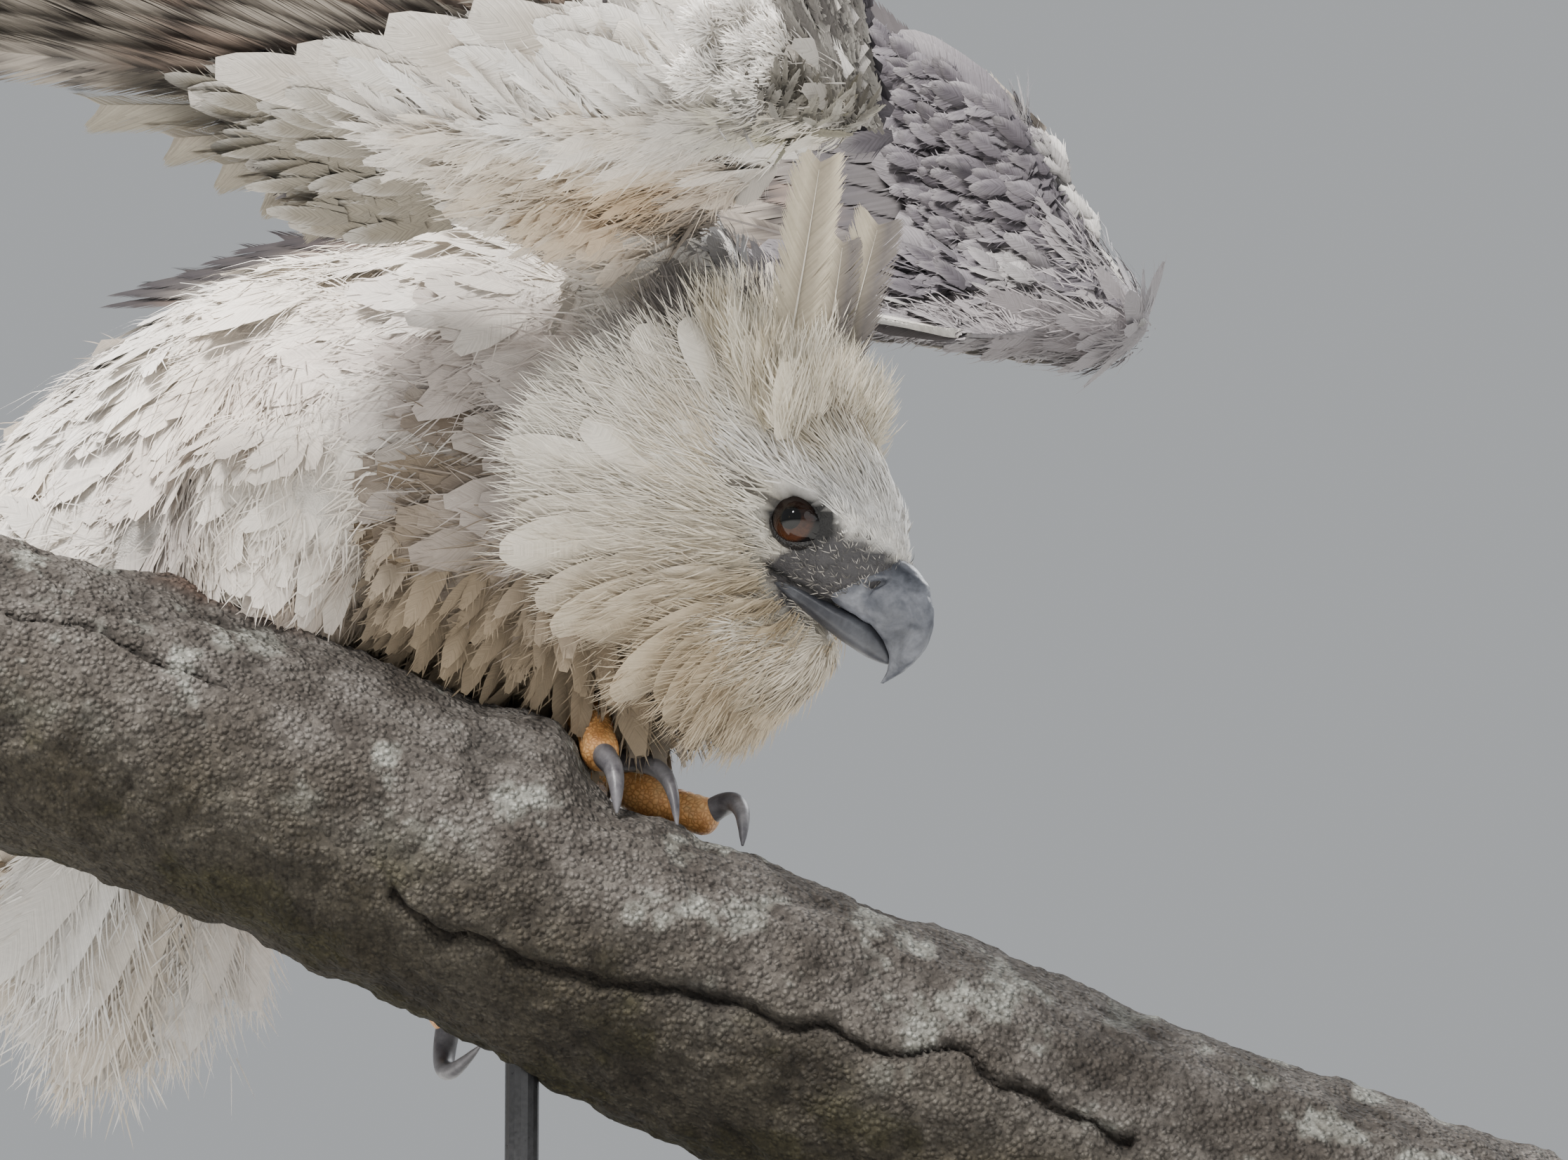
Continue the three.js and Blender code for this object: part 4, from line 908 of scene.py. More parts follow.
def bark_material():
    n = Nodes("grey granular bark")
    grain, coarse, fine = n.cells(330.0), n.noise(48, 8, 0.68), n.noise(260, 6, 0.7)
    speck = n.ramp(fine, (0.34, (0.30, 0.28, 0.26)), (0.5, (0.8, 0.8, 0.79)), (0.7, (1.5, 1.5, 1.46)))
    colour = n.times(n.times(n.painted(), (0.78, 0.78, 0.8, 1)), speck, 0.9)
    # The bark's own granular tone, with painted shade: where the bump is low, the colour is darker.
    colour = n.times(colour, n.ramp(grain, (0.15, (1.2, 1.2, 1.18)), (0.6, (0.45, 0.43, 0.4))), 0.6)
    colour = n.times(colour, n.ramp(coarse, (0.36, (0.4, 0.37, 0.35)), (0.55, 1)), 0.75)
    height = n.mix(n.mix(coarse, fine, 0.5), n.ramp(grain, (0.1, 1), (0.6, 0)), 0.5)
    n.set(Base_Color=colour, Roughness=0.88, Specular_IOR_Level=0.3, Normal=n.bump(height, 1.0, 0.004))
    return n.material


def wood_material():
    n = Nodes("cut wood")
    fine = n.noise(300, 5, 0.7)
    n.set(Base_Color=n.times(n.painted(), n.ramp(fine, (0.3, 0.7), (0.7, 1)), 0.8), Roughness=0.8,
          Normal=n.bump(fine, 0.4, 0.0008))
    return n.material


def stand_material(name, roughness, scale):
    n = Nodes(name)
    fine = n.noise(scale, 5)
    n.set(Base_Color=n.ramp(fine, (0.3, srgb(34, 34, 36)), (0.7, srgb(48, 48, 50))),
          Roughness=n.ramp(fine, (0.3, roughness - 0.08), (0.7, roughness + 0.08)),
          Normal=n.bump(fine, 0.15, 0.0006))
    return n.material


def soft_feathers():
    """The material of the loose feathers, made once for all of them."""
    name = "soft feathers"
    return bpy.data.materials.get(name) or feather_material(name, low=0.84, high=1.04)


def firm_feathers():
    """The material of wing and tail feathers, made once for all of them."""
    name = "firm feathers"
    return bpy.data.materials.get(name) or feather_material(name, 0.6, 0.1, 0.7)


# Choices that a user may change


def length_choice(name, description, default, low, high):
    return bpy.props.FloatProperty(name=name, description=description, default=default, min=low, max=high,
                                   unit="LENGTH")


class EaglePlumage(bpy.types.PropertyGroup):
    body_feather: length_choice("Body feather", "Length of the body's small feathers", 0.036, 0.01, 0.08)
    face_feather: length_choice("Face feather", "Length of the face's feathers", 0.014, 0.004, 0.04)
    strand: length_choice("Strand", "Width of one soft strand", 0.0016, 0.0005, 0.004)
    skin_depth: length_choice("Coat depth", "How far the skin lies inside the coat", 0.007, 0.0, 0.02)


class EagleBare(bpy.types.PropertyGroup):
    iris: bpy.props.FloatVectorProperty(name="Iris", description="Colour of the iris", subtype="COLOR",
                                        size=3, default=tuple(srgb(32, 20, 16)), min=0, max=1)
    iris_radius: length_choice("Iris radius", "Radius of the coloured ring", 0.0112, 0.005, 0.015)
    pupil_radius: length_choice("Pupil radius", "Radius of the pupil", 0.0053, 0.002, 0.009)


class EaglePerch(bpy.types.PropertyGroup):
    bark_relief: length_choice("Bark relief", "Depth of the bark's lumps", 0.0035, 0.0, 0.01)


def plan(name):
    return getattr(bpy.context.scene, name)


# Each lamp's name, place (m), size (m), power (W) and colour
LAMPS = (
    ("key", (-1.2, -1.5, 3.2), 1.1, 340, (1.0, 0.97, 0.93)),
    ("glint", (-1.4, -2.4, 1.9), 0.34, 16, (1.0, 1.0, 1.0)),
    ("rim", (1.6, 1.9, 2.3), 1.8, 70, (0.96, 0.98, 1.0)),
    ("fill", (1.8, -2.6, 1.0), 2.4, 16, (0.98, 0.99, 1.0)),
)
LIGHT_AIM = (-0.02, 0.0, 0.55)
FLOOR_HALF = 14000
SENSOR_WIDTH, PICTURE_WIDTH, FOCAL_PIXELS = 36, 2233, 9000
CAMERA_PLACE, CAMERA_TILT = (0.105, -2.9708, 0.0875), 98

SKIN_CACHE = {}


def skin_survey():
    """Middle, normal, area, part, place and lie for each face of the skin."""
    if not SKIN_CACHE:
        mesh = bpy.data.objects["skin"].data
        count = len(mesh.polygons)
        centre, normal, area = np.zeros(3 * count), np.zeros(3 * count), np.zeros(count)
        mesh.polygons.foreach_get("center", centre)
        mesh.polygons.foreach_get("normal", normal)
        mesh.polygons.foreach_get("area", area)
        p = centre.reshape(-1, 3) / MM
        n = normal.reshape(-1, 3)
        region, place, lie = survey(p)
        SKIN_CACHE.update(p=p, n=n, area=area / MM**2, region=region, place=place, lie=lie,
                          colour=plumage(p, n, region))
    return SKIN_CACHE


def tangent(lie, normal):
    return unit(lie - normal * np.sum(lie * normal, axis=1, keepdims=True))


# Pieces


class EAGLE_OT_stage(bpy.types.Operator):
    """Make the floor, the lights and the camera."""
    bl_idname = "eagle.stage"
    bl_label = "Stage"

    def execute(self, context):
        scene = context.scene
        n = Nodes("studio floor")
        n.set(Base_Color=(0.72, 0.72, 0.70, 1), Roughness=0.8)
        half = FLOOR_HALF
        points = np.array([(-half, -half, 0), (half, -half, 0), (half, half, 0), (-half, half, 0)], float)
        floor = make_object("studio_floor", points, [(0, 1, 2), (0, 2, 3)])
        floor.data.materials.append(n.material)
        world = bpy.data.worlds.new("studio")
        scene.world = world
        world.use_nodes = True
        back = world.node_tree.nodes["Background"]
        back.inputs["Color"].default_value = (0.80, 0.83, 0.86, 1)
        back.inputs["Strength"].default_value = 0.52
        for name, place, size, power, colour in LAMPS:
            light = bpy.data.lights.new(name, "AREA")
            light.shape = "DISK"
            light.size = size
            light.energy = power
            light.color = colour
            lamp = bpy.data.objects.new(name, light)
            lamp.location = place
            aim = Vector(LIGHT_AIM) - Vector(place)
            lamp.rotation_euler = aim.to_track_quat("-Z", "Y").to_euler()
            scene.collection.objects.link(lamp)
        camera_data = bpy.data.cameras.new("camera")
        camera_data.sensor_width = SENSOR_WIDTH
        camera_data.lens = SENSOR_WIDTH * FOCAL_PIXELS / PICTURE_WIDTH
        camera = bpy.data.objects.new("camera", camera_data)
        camera.location = CAMERA_PLACE
        camera.rotation_euler = (math.radians(CAMERA_TILT), 0, 0)
        scene.collection.objects.link(camera)
        scene.camera = camera
        return {"FINISHED"}


class EAGLE_OT_skin(bpy.types.Operator):
    """Make the one skin that the feathers grow from."""
    bl_idname = "eagle.skin"
    bl_label = "Skin"

    def execute(self, context):
        parts = [tube(**part) for part in FLESH.values()]
        parts += [wing_web(1), wing_web(-1)]
        for side in (1, -1):
            parts.append(tube([head_point(-40, 33 * side, 13), head_point(-14, 37 * side, 19),
                               head_point(10, 33 * side, 18), head_point(30, 21 * side, 10)],
                              [(8, 6), (8, 5.5), (7, 5), (5, 4)], up=HEAD_UP, sides=16, steps=16))
        parts.append(tube([(-246, 142, 452), (-268, 152, 436), (-305, 161, 410)],
                          [(44, 34), (40, 28), (24, 12)], dome=0.6))
        points, tris = join(parts)
        skin = make_object("skin", points, tris)
        remesh(skin, SKIN_VOXEL, 6)
        mesh = skin.data
        count = len(mesh.vertices)
        co, no = np.zeros(3 * count), np.zeros(3 * count)
        mesh.vertices.foreach_get("co", co)
        mesh.vertices.foreach_get("normal", no)
        p, n = co.reshape(-1, 3) / MM, no.reshape(-1, 3)
        region = survey(p)[0]
        f, r, u = head_place(p)
        head = np.isin(region, HEAD_REGIONS)
        depth = np.full(count, plan("eagle_plumage").skin_depth / MM)
        depth[head] = 2.5
        depth[region >= REGION["arm_right_0"]] = 3.0
        bare = np.maximum(lores_mask(f, r, u), lid_mask(f, r, u)) * head
        depth[:] += 1.6 * mouth_mask(f, r, u) * head
        soft = region <= REGION["thigh_left"]
        depth = depth * (1 - bare) - 3.2 * (mottle(p * [0.8, 1, 1], 52, 101) + 0.4
                                            * mottle(p, 24, 102)) * soft
        p = p - n * depth[:, None]
        for side in (1, -1):
            gap = p - head_point(0, EYE_OFFSET * side, 0)
            far = np.linalg.norm(gap, axis=1)
            outward = gap @ (HEAD_RIGHT * side)
            near = (far < EYE_RADIUS + 9) & (outward > 0)
            ring = np.linalg.norm(gap - np.outer(outward, HEAD_RIGHT * side), axis=1)
            rim = np.clip((ring - 13.6) / 4.5, 0, 1)
            inside = near & (ring < 18.1)
            target = head_point(0, EYE_OFFSET * side, 0) + unit(gap) * (EYE_RADIUS - 1.2 + 3.2 * rim[:, None])
            p[inside] = np.where(far[inside, None] > EYE_RADIUS - 1.2 + 3.2 * rim[inside, None],
                                 target[inside], p[inside])
        mesh.vertices.foreach_set("co", (p * MM).astype(np.float32).ravel())
        mesh.update()
        mesh.polygons.foreach_set("use_smooth", np.ones(len(mesh.polygons), bool))
        paint = mesh.color_attributes.new(name="plumage", type="FLOAT_COLOR", domain="POINT")
        # The skin is painted a little darker than its feathers, as painted shade where it shows between them.
        colour = plumage(p, n, region) * 0.92
        paint.data.foreach_set("color", np.c_[colour, np.ones(count)].astype(np.float32).ravel())
        finish(skin, skin_material(), "body_plumage", "torso", "neck", "head", "thigh_right", "thigh_left")
        return {"FINISHED"}


class EAGLE_OT_body_coat(bpy.types.Operator):
    """Lay the soft feathers of trunk, neck, thighs and arms."""
    bl_idname = "eagle.body_coat"
    bl_label = "Body coat"

    def execute(self, context):
        s = skin_survey()
        plumes_set = plan("eagle_plumage")
        material = soft_feathers()
        rng = np.random.default_rng(7)
        head = np.isin(s["region"], HEAD_REGIONS)
        web = (s["region"] == REGION["trunk"]) & (s["p"][:, 2] > 632) & (s["n"][:, 2] < 0.1)
        groups = {
            "coat_trunk": (s["region"] == REGION["trunk"]) & (s["p"][:, 0] < 110) & ~web,
            "coat_neck": (s["region"] == REGION["neck"]),
            "coat_thighs": (s["region"] == REGION["thigh_right"]) | (s["region"] == REGION["thigh_left"]),
            "coat_arm_right": ((s["region"] >= REGION["arm_right_0"])
                               & (s["region"] <= REGION["arm_right_2"])) | (
                web & (s["p"][:, 1] < 60)),
            "coat_arm_left": (s["region"] >= REGION["arm_left_0"]),
        }
        spacing = {"coat_trunk": 10.4, "coat_neck": 8.0, "coat_thighs": 9.0, "coat_arm_right": 9.5,
                   "coat_arm_left": 9.0}
        for name, chosen in groups.items():
            pick = self.spread(rng, np.flatnonzero(chosen & ~head), s["area"], spacing[name])
            p, n = s["p"][pick], s["n"][pick]
            flow = s["lie"][pick] + 0.42 * np.c_[mottle(p, 52, 21), mottle(p, 52, 22), mottle(p, 52, 23)]
            lie = tangent(flow + 0.2 * rng.normal(size=p.shape), n)
            wave = mottle(p, 34, 31)
            size = plumes_set.body_feather / MM * (1 + 0.22 * wave + 0.12 * rng.normal(size=len(p)))
            size *= {"coat_trunk": 1.35, "coat_neck": 1.1, "coat_thighs": 1.0}.get(name, 0.8)
            size = np.clip(size, 14, 72)
            colour = stains_and_shade(p, s["colour"][pick]) * (1 + 0.05 * mottle(p, 9, 41))[:, None]
            uv = skin_uv(s["region"][pick], s["place"][pick])
            lift = 0.06 + 0.15 * np.maximum(wave, 0) + 0.03 * rng.normal(size=len(p))

            # Painted shade and highlight: each blade a little darker toward its middle and root, lighter at
            # its edge.
            def paint(t, lateral, k):
                edge = smooth(0.5, 1.0, np.hypot(t, 0.5 * lateral))
                return colour[k] * mix(0.97, 1.03, edge)[..., None]

            blades = plumes(rng, p - n * 1.0, lie + n * lift[:, None], n, size,
                            size * rng.uniform(0.42, 0.55, len(p)), uv, paint,
                            roll=rng.normal(0, 0.07, len(p)), bend=size * (lift * 0.8),
                            sweep=rng.normal(0, 2.5, len(p)), rows=(0, 0.4, 0.72, 0.97), columns=(-1, 0, 1),
                            fringe=15, fray=0.55, hair=0.8, quill=0.6, point=0.35, soft=1.0, loose=0.08,
                            even=0.8)
            more = rng.integers(0, len(p), int(len(p) * (0.9 if name == "coat_trunk" else 1.8)))
            over = tufts(rng, p[more] + rng.uniform(-4, 4, (len(more), 3)), lie[more], n[more],
                         size[more] * rng.uniform(0.5, 0.95, len(more)), 9, 3, colour[more],
                         np.minimum(colour[more] * 1.06, 1), uv[more], lift=0.2 + 0.2 * rng.random(len(more)),
                         curl=0.2, strand=plumes_set.strand / MM * 0.5, rings=2, dark=0.95, spread=0.4)
            coat_object(name, merge([blades, over]), material, "body_plumage")
        self.breast(material)
        return {"FINISHED"}

    def breast(self, material):
        """Longer loose feathers that hang from the breast and belly down to the perch."""
        s = skin_survey()
        rng = np.random.default_rng(9)
        low = (s["region"] == REGION["trunk"]) & (s["n"][:, 2] < -0.35) & (s["p"][:, 0] > -110) & (
            s["p"][:, 0] < 90) & (s["p"][:, 1] < 90) & (s["p"][:, 2] < 610)
        pick = self.spread(rng, np.flatnonzero(low), s["area"], 9.0)
        p, n = s["p"][pick], s["n"][pick]
        ahead = smooth(-20, 30, p[:, 0])
        along = np.array([-0.4, -0.1, -0.55]) + 0.4 * n + 0.18 * rng.normal(size=p.shape)
        along += ahead[:, None] * np.array([0.35, -0.05, -0.4])
        long = rng.uniform(26, 44, len(p)) * smooth(-115, -60, p[:, 0]) * smooth(96, 68, p[:, 0])
        long = long * (1 + 0.5 * ahead)
        # Painted shade: the hanging breast feathers are darkened toward the shaded fold's brown, over partly
        # brown feathers, and each is darker at its root.
        colour = blend(s["colour"][pick], mix(WARM, FOLD_SHADE, 0.7), 0.65)

        def paint(t, lateral, k):
            return colour[k] * mix(0.86, 1.04, smooth(0.3, 1.0, np.hypot(t, 0.5 * lateral)))[..., None]

        pieces = plumes(rng, p, along, n, np.maximum(long, 14), np.maximum(long, 14) * 0.34, skin_uv(
            s["region"][pick], s["place"][pick]), paint, roll=rng.normal(0, 0.3, len(p)),
            bend=rng.uniform(-4, 8, len(p)), rows=(0, 0.4, 0.72, 0.97), columns=(-1, 0, 1), fringe=18,
            fray=0.6, hair=0.8, quill=0.5, point=0.3, soft=1.0, even=0.7)
        coat_object("coat_breast", pieces, material, "body_plumage")

    def spread(self, rng, faces, area, spacing):
        """Faces picked at random so that they lie about one spacing apart."""
        keep = rng.random(len(faces)) < area[faces] / spacing**2 * 1.3
        return faces[keep]


RUFF_TIP_RADIUS = [(0, 84), (40, 90), (75, 99), (105, 104), (140, 116), (165, 118), (180, 110)]
RUFF_TIP_FORWARD = [(0, -84), (40, -92), (75, -100), (105, -105), (125, -96), (150, -48), (165, 2), (180, 18)]
RUFF_ROOT_FORWARD = [(0, -40), (60, -38), (110, -30), (145, -12), (180, 16)]
RUFF_ROOT_RADIUS = [(0, 38), (60, 38), (110, 40), (145, 42), (180, 46)]
FAR_RUFF_SPREAD = 1.14
# Each layer's count of plumes, reach, start and width
RUFF_LAYERS = ((44, 1.08, 0.42, 40), (42, 1.0, 0.3, 38), (40, 0.88, 0.24, 34), (40, 0.74, 0.2, 30),
               (38, 0.58, 0.2, 26))


def ruff_point(turn, radius, forward):
    angle = np.radians(turn)
    return head_point(forward, np.sin(angle) * radius, np.cos(angle) * radius)


def over_axes(along, face):
    """The way, side and outer face of the hairs that lie over plumes."""
    way = unit(along)
    beside = unit(np.cross(way, unit(face)))
    return way, beside, unit(np.cross(beside, way))


class EAGLE_OT_head_coat(bpy.types.Operator):
    """Lay the face's hair-like feathers, the ruff and the crest."""
    bl_idname = "eagle.head_coat"
    bl_label = "Head coat"

    def execute(self, context):
        self.face()
        self.ruff()
        self.crest()
        return {"FINISHED"}

    def face(self):
        """Short hair-like feathers of the face and the bristles of the lores."""
        s = skin_survey()
        choices = plan("eagle_plumage")
        rng = np.random.default_rng(17)
        head = np.flatnonzero(np.isin(s["region"], HEAD_REGIONS))
        f, r, u = head_place(s["p"][head])
        bare = np.maximum(lores_mask(f, r, u), lid_mask(f, r, u))
        face = head[bare < 0.5]
        face = np.concatenate([face, face])
        p = s["p"][face] + rng.uniform(-2, 2, (len(face), 3))
        n = s["n"][face]
        f, r, u = head_place(p)
        away = p - head_point(48, 0, -10)
        lie = tangent(unit(away) - 0.3 * HEAD_FORWARD, n)
        swirl = 0.28 * np.c_[mottle(p, 26, 51), mottle(p, 26, 52), mottle(p, 26, 53)]
        lie = tangent(lie + swirl + 0.12 * rng.normal(size=p.shape), n)
        eye = np.where(r > 0, 1, -1)[:, None] * HEAD_RIGHT * EYE_OFFSET + head_point(1, 0, 0)
        apart = p - eye
        ring = np.linalg.norm(apart, axis=1)
        toward = np.minimum(np.sum(lie * unit(apart), axis=1) - 0.25, 0) * smooth(36, 22, ring)
        lie = tangent(lie - unit(apart) * toward[:, None], n)
        distance = np.linalg.norm(away, axis=1)
        length = choices.face_feather / MM * mix(0.4, 2.1, smooth(18, 110, distance))
        length = length * (1 + 0.2 * mottle(p, 15, 54) + 0.12 * rng.normal(size=len(p)))
        for reach in (0.5, 1.0):
            ahead = head_place(p + lie * (length * reach)[:, None])
            length = np.where(lid_mask(*ahead) > 0.2, length * 0.35, length)
        colour = s["colour"][face] * (1 + 0.06 * mottle(p, 6, 55))[:, None]
        grow = smooth(20, 80, distance)
        pieces = tufts(rng, p, lie, n, np.clip(length, 2, 40), mix(3.5, 7, grow), 5, colour,
                       np.minimum(colour * 1.06 + 0.02, 1), skin_uv(s["region"][face], s["place"][face]),
                       lift=0.14 + 0.1 * grow, curl=0.1, spread=0.3, strand=mix(0.5, 0.85, grow), rings=2,
                       dark=0.78)
        coat_object("coat_face", pieces, soft_feathers(), "head_plumage")
        where = head_place(s["p"][head])
        lores = head[(lores_mask(*where) > 0.4) & (lid_mask(*where) < 0.5) & (mouth_mask(*where) < 0.4)]
        lores = np.repeat(lores, 3)
        p = s["p"][lores] + rng.uniform(-2, 2, (len(lores), 3))
        n = s["n"][lores]
        lie = tangent(unit(p - head_point(50, 0, -24)) + 0.3 * rng.normal(size=p.shape), n)
        pale = blend(np.tile(srgb(70, 68, 68), (len(p), 1)), srgb(196, 190, 182), rng.random(len(p)) ** 1.5)
        pieces = tufts(rng, p, lie, n, rng.uniform(3, 6.5, len(p)), 1, 2, pale, pale, skin_uv(
            s["region"][lores], s["place"][lores]), lift=0.3, curl=0.1, spread=0.5, strand=0.45, rings=2,
            dark=0.5)
        coat_object("lore_bristles", pieces, soft_feathers(), "head_plumage")

    def ruff(self):
        """The ruff: layers of soft plumes round the back of the face."""
        rng = np.random.default_rng(27)
        rows = []
        for layer, (count, reach, start, width) in enumerate(RUFF_LAYERS):
            turn = -180 + 360 * (np.arange(count) + 0.5 * (layer % 2) + rng.uniform(-0.2, 0.2, count)) / count
            fold = np.abs(turn)
            far = np.where((turn < -72) & (turn > -110), FAR_RUFF_SPREAD,
                           np.where((turn < -20) & (turn > -72), 0.84, 1))
            root = ruff_point(turn, table(RUFF_ROOT_RADIUS, fold) - 1.5 * layer,
                              table(RUFF_ROOT_FORWARD, fold))
            tip = ruff_point(turn, far * table(RUFF_TIP_RADIUS, fold), table(RUFF_TIP_FORWARD, fold))
            along = tip - root
            full = np.linalg.norm(along, axis=1)
            start_at = root + along * start * 0.5 + HEAD_FORWARD * (4 * layer)
            length = full * (reach * rng.uniform(0.94, 1.06, count) - start * 0.5)
            face = 0.6 * unit(ruff_point(turn, 1.0, 0.0) - HEAD_CENTRE) + HEAD_FORWARD
            rows.append((start_at, along, face, length, width * rng.uniform(0.9, 1.15, count), turn))
        turn = np.repeat(np.linspace(-122, -84, 9), 2) + rng.uniform(-3, 3, 18)
        root = ruff_point(turn, np.full(18, 46.0), np.tile([-14.0, -26.0], 9))
        tip = ruff_point(turn, np.tile([80.0, 84.0], 9), np.tile([-36.0, -58.0], 9))
        rows.append((root, tip - root, np.tile(HEAD_FORWARD, (18, 1)), np.linalg.norm(tip - root, axis=1),
                     np.full(18, 24.0), turn))
        root, along, face = [np.vstack([row[k] for row in rows]) for k in range(3)]
        length, width, turn = [np.concatenate([row[k] for row in rows]) for k in (3, 4, 5)]
        tone = rng.uniform(-1, 1, len(root))
        behind = smooth(105, 60, np.abs(turn + 4)) * (np.arange(len(root)) < 44)
        # low: painted shade, the lower plumes of the ruff turned tan.
        low = smooth(110, 165, np.abs(turn))
        side_tan = smooth(0.0, 0.5, mottle(root + 0.6 * along, 40, 93)) * smooth(130, 70, np.abs(turn))

        def paint(t, lateral, k):
            base = blend(ground(CREAM, t), TAN, 0.18 + 0.18 * tone[k])
            base = blend(base, WHITE, 0.45 * smooth(0.35, 0.9, np.hypot(t, lateral * 0.8)))
            base = blend(base, TAN, 0.7 * low[k] + 0.5 * side_tan[k] * smooth(0.9, 0.4, t))
            base = blend(base, NAPE, 0.9 * behind[k] * smooth(0.2, 0.6, t))
            streak = smooth(0.5, 0.9, tone[k]) * smooth(0.5, 0.1, np.abs(lateral))
            base = blend(base, OLIVE, 0.35 * streak * smooth(120, 60, np.abs(turn[k])))
            # Painted shade at the root of each plume.
            return base * mix(0.88, 1, smooth(0, 0.4, t))[..., None]

        uv = skin_uv(np.full(len(root), REGION["skull"]),
                     np.c_[0.05 + 0.5 * length / length.max(), (turn / 360) % 1])
        pieces = plumes(rng, root, along, face, length, width, uv, paint,
                        roll=rng.normal(0.1, 0.12, len(root)), bend=rng.uniform(4, 14, len(root)),
                        sweep=rng.uniform(-6, 6, len(root)), rows=(0, 0.2, 0.4, 0.6, 0.75, 0.87, 0.95, 0.99),
                        columns=(-1, -0.6, -0.25, 0.25, 0.6, 1), fringe=90, fray=0.34, hair=0.55, quill=0.22,
                        point=0.55, cup=0.3, soft=0.7, loose=0.08, ends=0.5, even=0.6)
        pick = rng.integers(0, len(root), 19500)
        t = rng.uniform(-0.12, 0.97, len(pick))
        across = rng.uniform(-0.42, 0.42, len(pick))
        way, beside, out = over_axes(along[pick], face[pick])
        p = (root[pick] + way * (t * length[pick])[:, None] + beside * (across * width[pick])[:, None]
             - out * (t**2 * 9 - 1)[:, None])
        colour = paint(t, across * 2, pick) * 1.03
        hairs = tufts(rng, p, way + 0.5 * beside * across[:, None], out, rng.uniform(10, 22, len(p)), 5, 2,
                      colour, np.minimum(colour * 1.05, 1), uv[pick], lift=0.14, curl=0.12, strand=0.6,
                      rings=2, dark=0.92, spread=0.25)
        coat_object("ruff", merge([pieces, hairs]), soft_feathers(), "head_plumage")

    def crest(self):
        """The crest: four tall feathers and short soft ones before and round them."""
        rng = np.random.default_rng(37)
        roots, ways, lengths, widths, tall = [], [], [], [], []
        for root, tip, width in ((head_point(-50, 14, 48), head_point(-89, 12, 150), 27),
                                 (head_point(-52, 4, 47), head_point(-93, 2, 138), 24),
                                 (head_point(-48, -30, 46), head_point(-79, -44, 133), 27),
                                 (head_point(-50, -20, 46), head_point(-82, -34, 118), 24)):
            roots.append(root - (tip - root) * 0.08)
            ways.append(tip - root)
            lengths.append(np.linalg.norm(tip - root) * 1.08)
            widths.append(width)
            tall.append(1.0)
        for row in range(6):
            for k in range(22):
                spread = (k + 0.5 * (row % 2) + rng.uniform(-0.3, 0.3)) / 10.5 - 1
                roots.append(head_point(-20 - 8 * row, 42 * spread, 37 + 1.6 * row - 8 * spread**2))
                ways.append(head_vector(-0.45 - 0.1 * row + 0.16 * rng.normal(),
                                        0.45 * spread + 0.1 * rng.normal(), 1))
                lengths.append((33 + 2.5 * row) * rng.uniform(0.75, 1.25))
                widths.append(rng.uniform(9, 14))
                tall.append(0.0)
        root, along = np.array(roots), np.array(ways)
        length, width, tall = np.array(lengths), np.array(widths), np.array(tall)
        tone = rng.uniform(-1, 1, len(root))

        def paint(t, lateral, k):
            base = blend(ground(CREAM, t), TAN, 0.1 + 0.22 * tone[k])
            stripe = smooth(0.5, 0.0, np.abs(lateral)) * smooth(-0.2, 0.8, tone[k])
            base = blend(base, OLIVE, 0.5 * stripe * (1 - tall[k]))
            grey_tall = blend(ground(srgb(184, 174, 154), t), srgb(104, 96, 84),
                              0.7 * smooth(0.6, 0.1, np.abs(lateral - 0.15)) * smooth(0.1, 0.5, t))
            grey_tall = mix(grey_tall, blend(grey_tall, srgb(86, 82, 84), 0.85 * smooth(-0.1, 0.2, lateral)),
                            (k >= 2)[..., None])
            base = mix(base, grey_tall, tall[k][..., None])
            # Painted shade at the root of each feather.
            return base * mix(0.85, 1, smooth(0, 0.35, t))[..., None]

        uv = skin_uv(np.full(len(root), REGION["skull"]),
                     np.c_[0.6 + 0.3 * length / length.max(), np.full_like(length, 0.25)])
        high = tall > 0
        looks = np.where(high[:, None], np.array([0.25, -1.0, 0.0]), HEAD_FORWARD + 0.7 * HEAD_RIGHT)
        soft = [plumes(rng, root[~high], along[~high], looks[~high], length[~high], width[~high], uv[~high],
                       lambda t, lateral, k: paint(t, lateral, np.flatnonzero(~high)[k]),
                       roll=rng.normal(0, 0.25, (~high).sum()), bend=rng.uniform(-2, 9, (~high).sum()),
                       sweep=rng.uniform(-5, 5, (~high).sum()), rows=(0, 0.25, 0.5, 0.7, 0.85, 0.95),
                       fringe=46, fray=0.8, hair=0.6, quill=0.5, point=0.35, cup=0.25, soft=0.7, loose=0.14,
                       ends=0.4, even=0.5)]
        pick = rng.choice(np.flatnonzero(~high), 5200)
        t = rng.uniform(-0.05, 0.95, len(pick))
        way, beside, out = over_axes(along[pick], looks[pick])
        across = rng.uniform(-0.45, 0.45, len(pick))
        p = root[pick] + way * (t * length[pick])[:, None] + beside * (across * width[pick])[:, None] + out
        colour = paint(t, across * 2, pick)
        soft.append(tufts(rng, p, way, out, rng.uniform(10, 22, len(p)), 4, 2, colour,
                          np.minimum(colour * 1.06, 1), uv[pick], lift=0.16, curl=0.1, strand=0.6, rings=2,
                          dark=0.9, spread=0.25))
        tall_ones = vanes(rng, root[high], along[high], looks[high], length[high], width[high], uv[high],
                          lambda t, lateral, k: paint(t, lateral, np.flatnonzero(high)[k]), roll=0.0,
                          bend=np.array([3.0, 2, 6, 4]), sweep=np.array([-2.0, 1, 0, -4]), barbs=110,
                          quill=0.6, point=0.72, tip=0.28, slant=1.5, cup=0.14, ragged=0.05, shaft=0.6,
                          shaft_colour=srgb(222, 216, 204), fill=1.1)
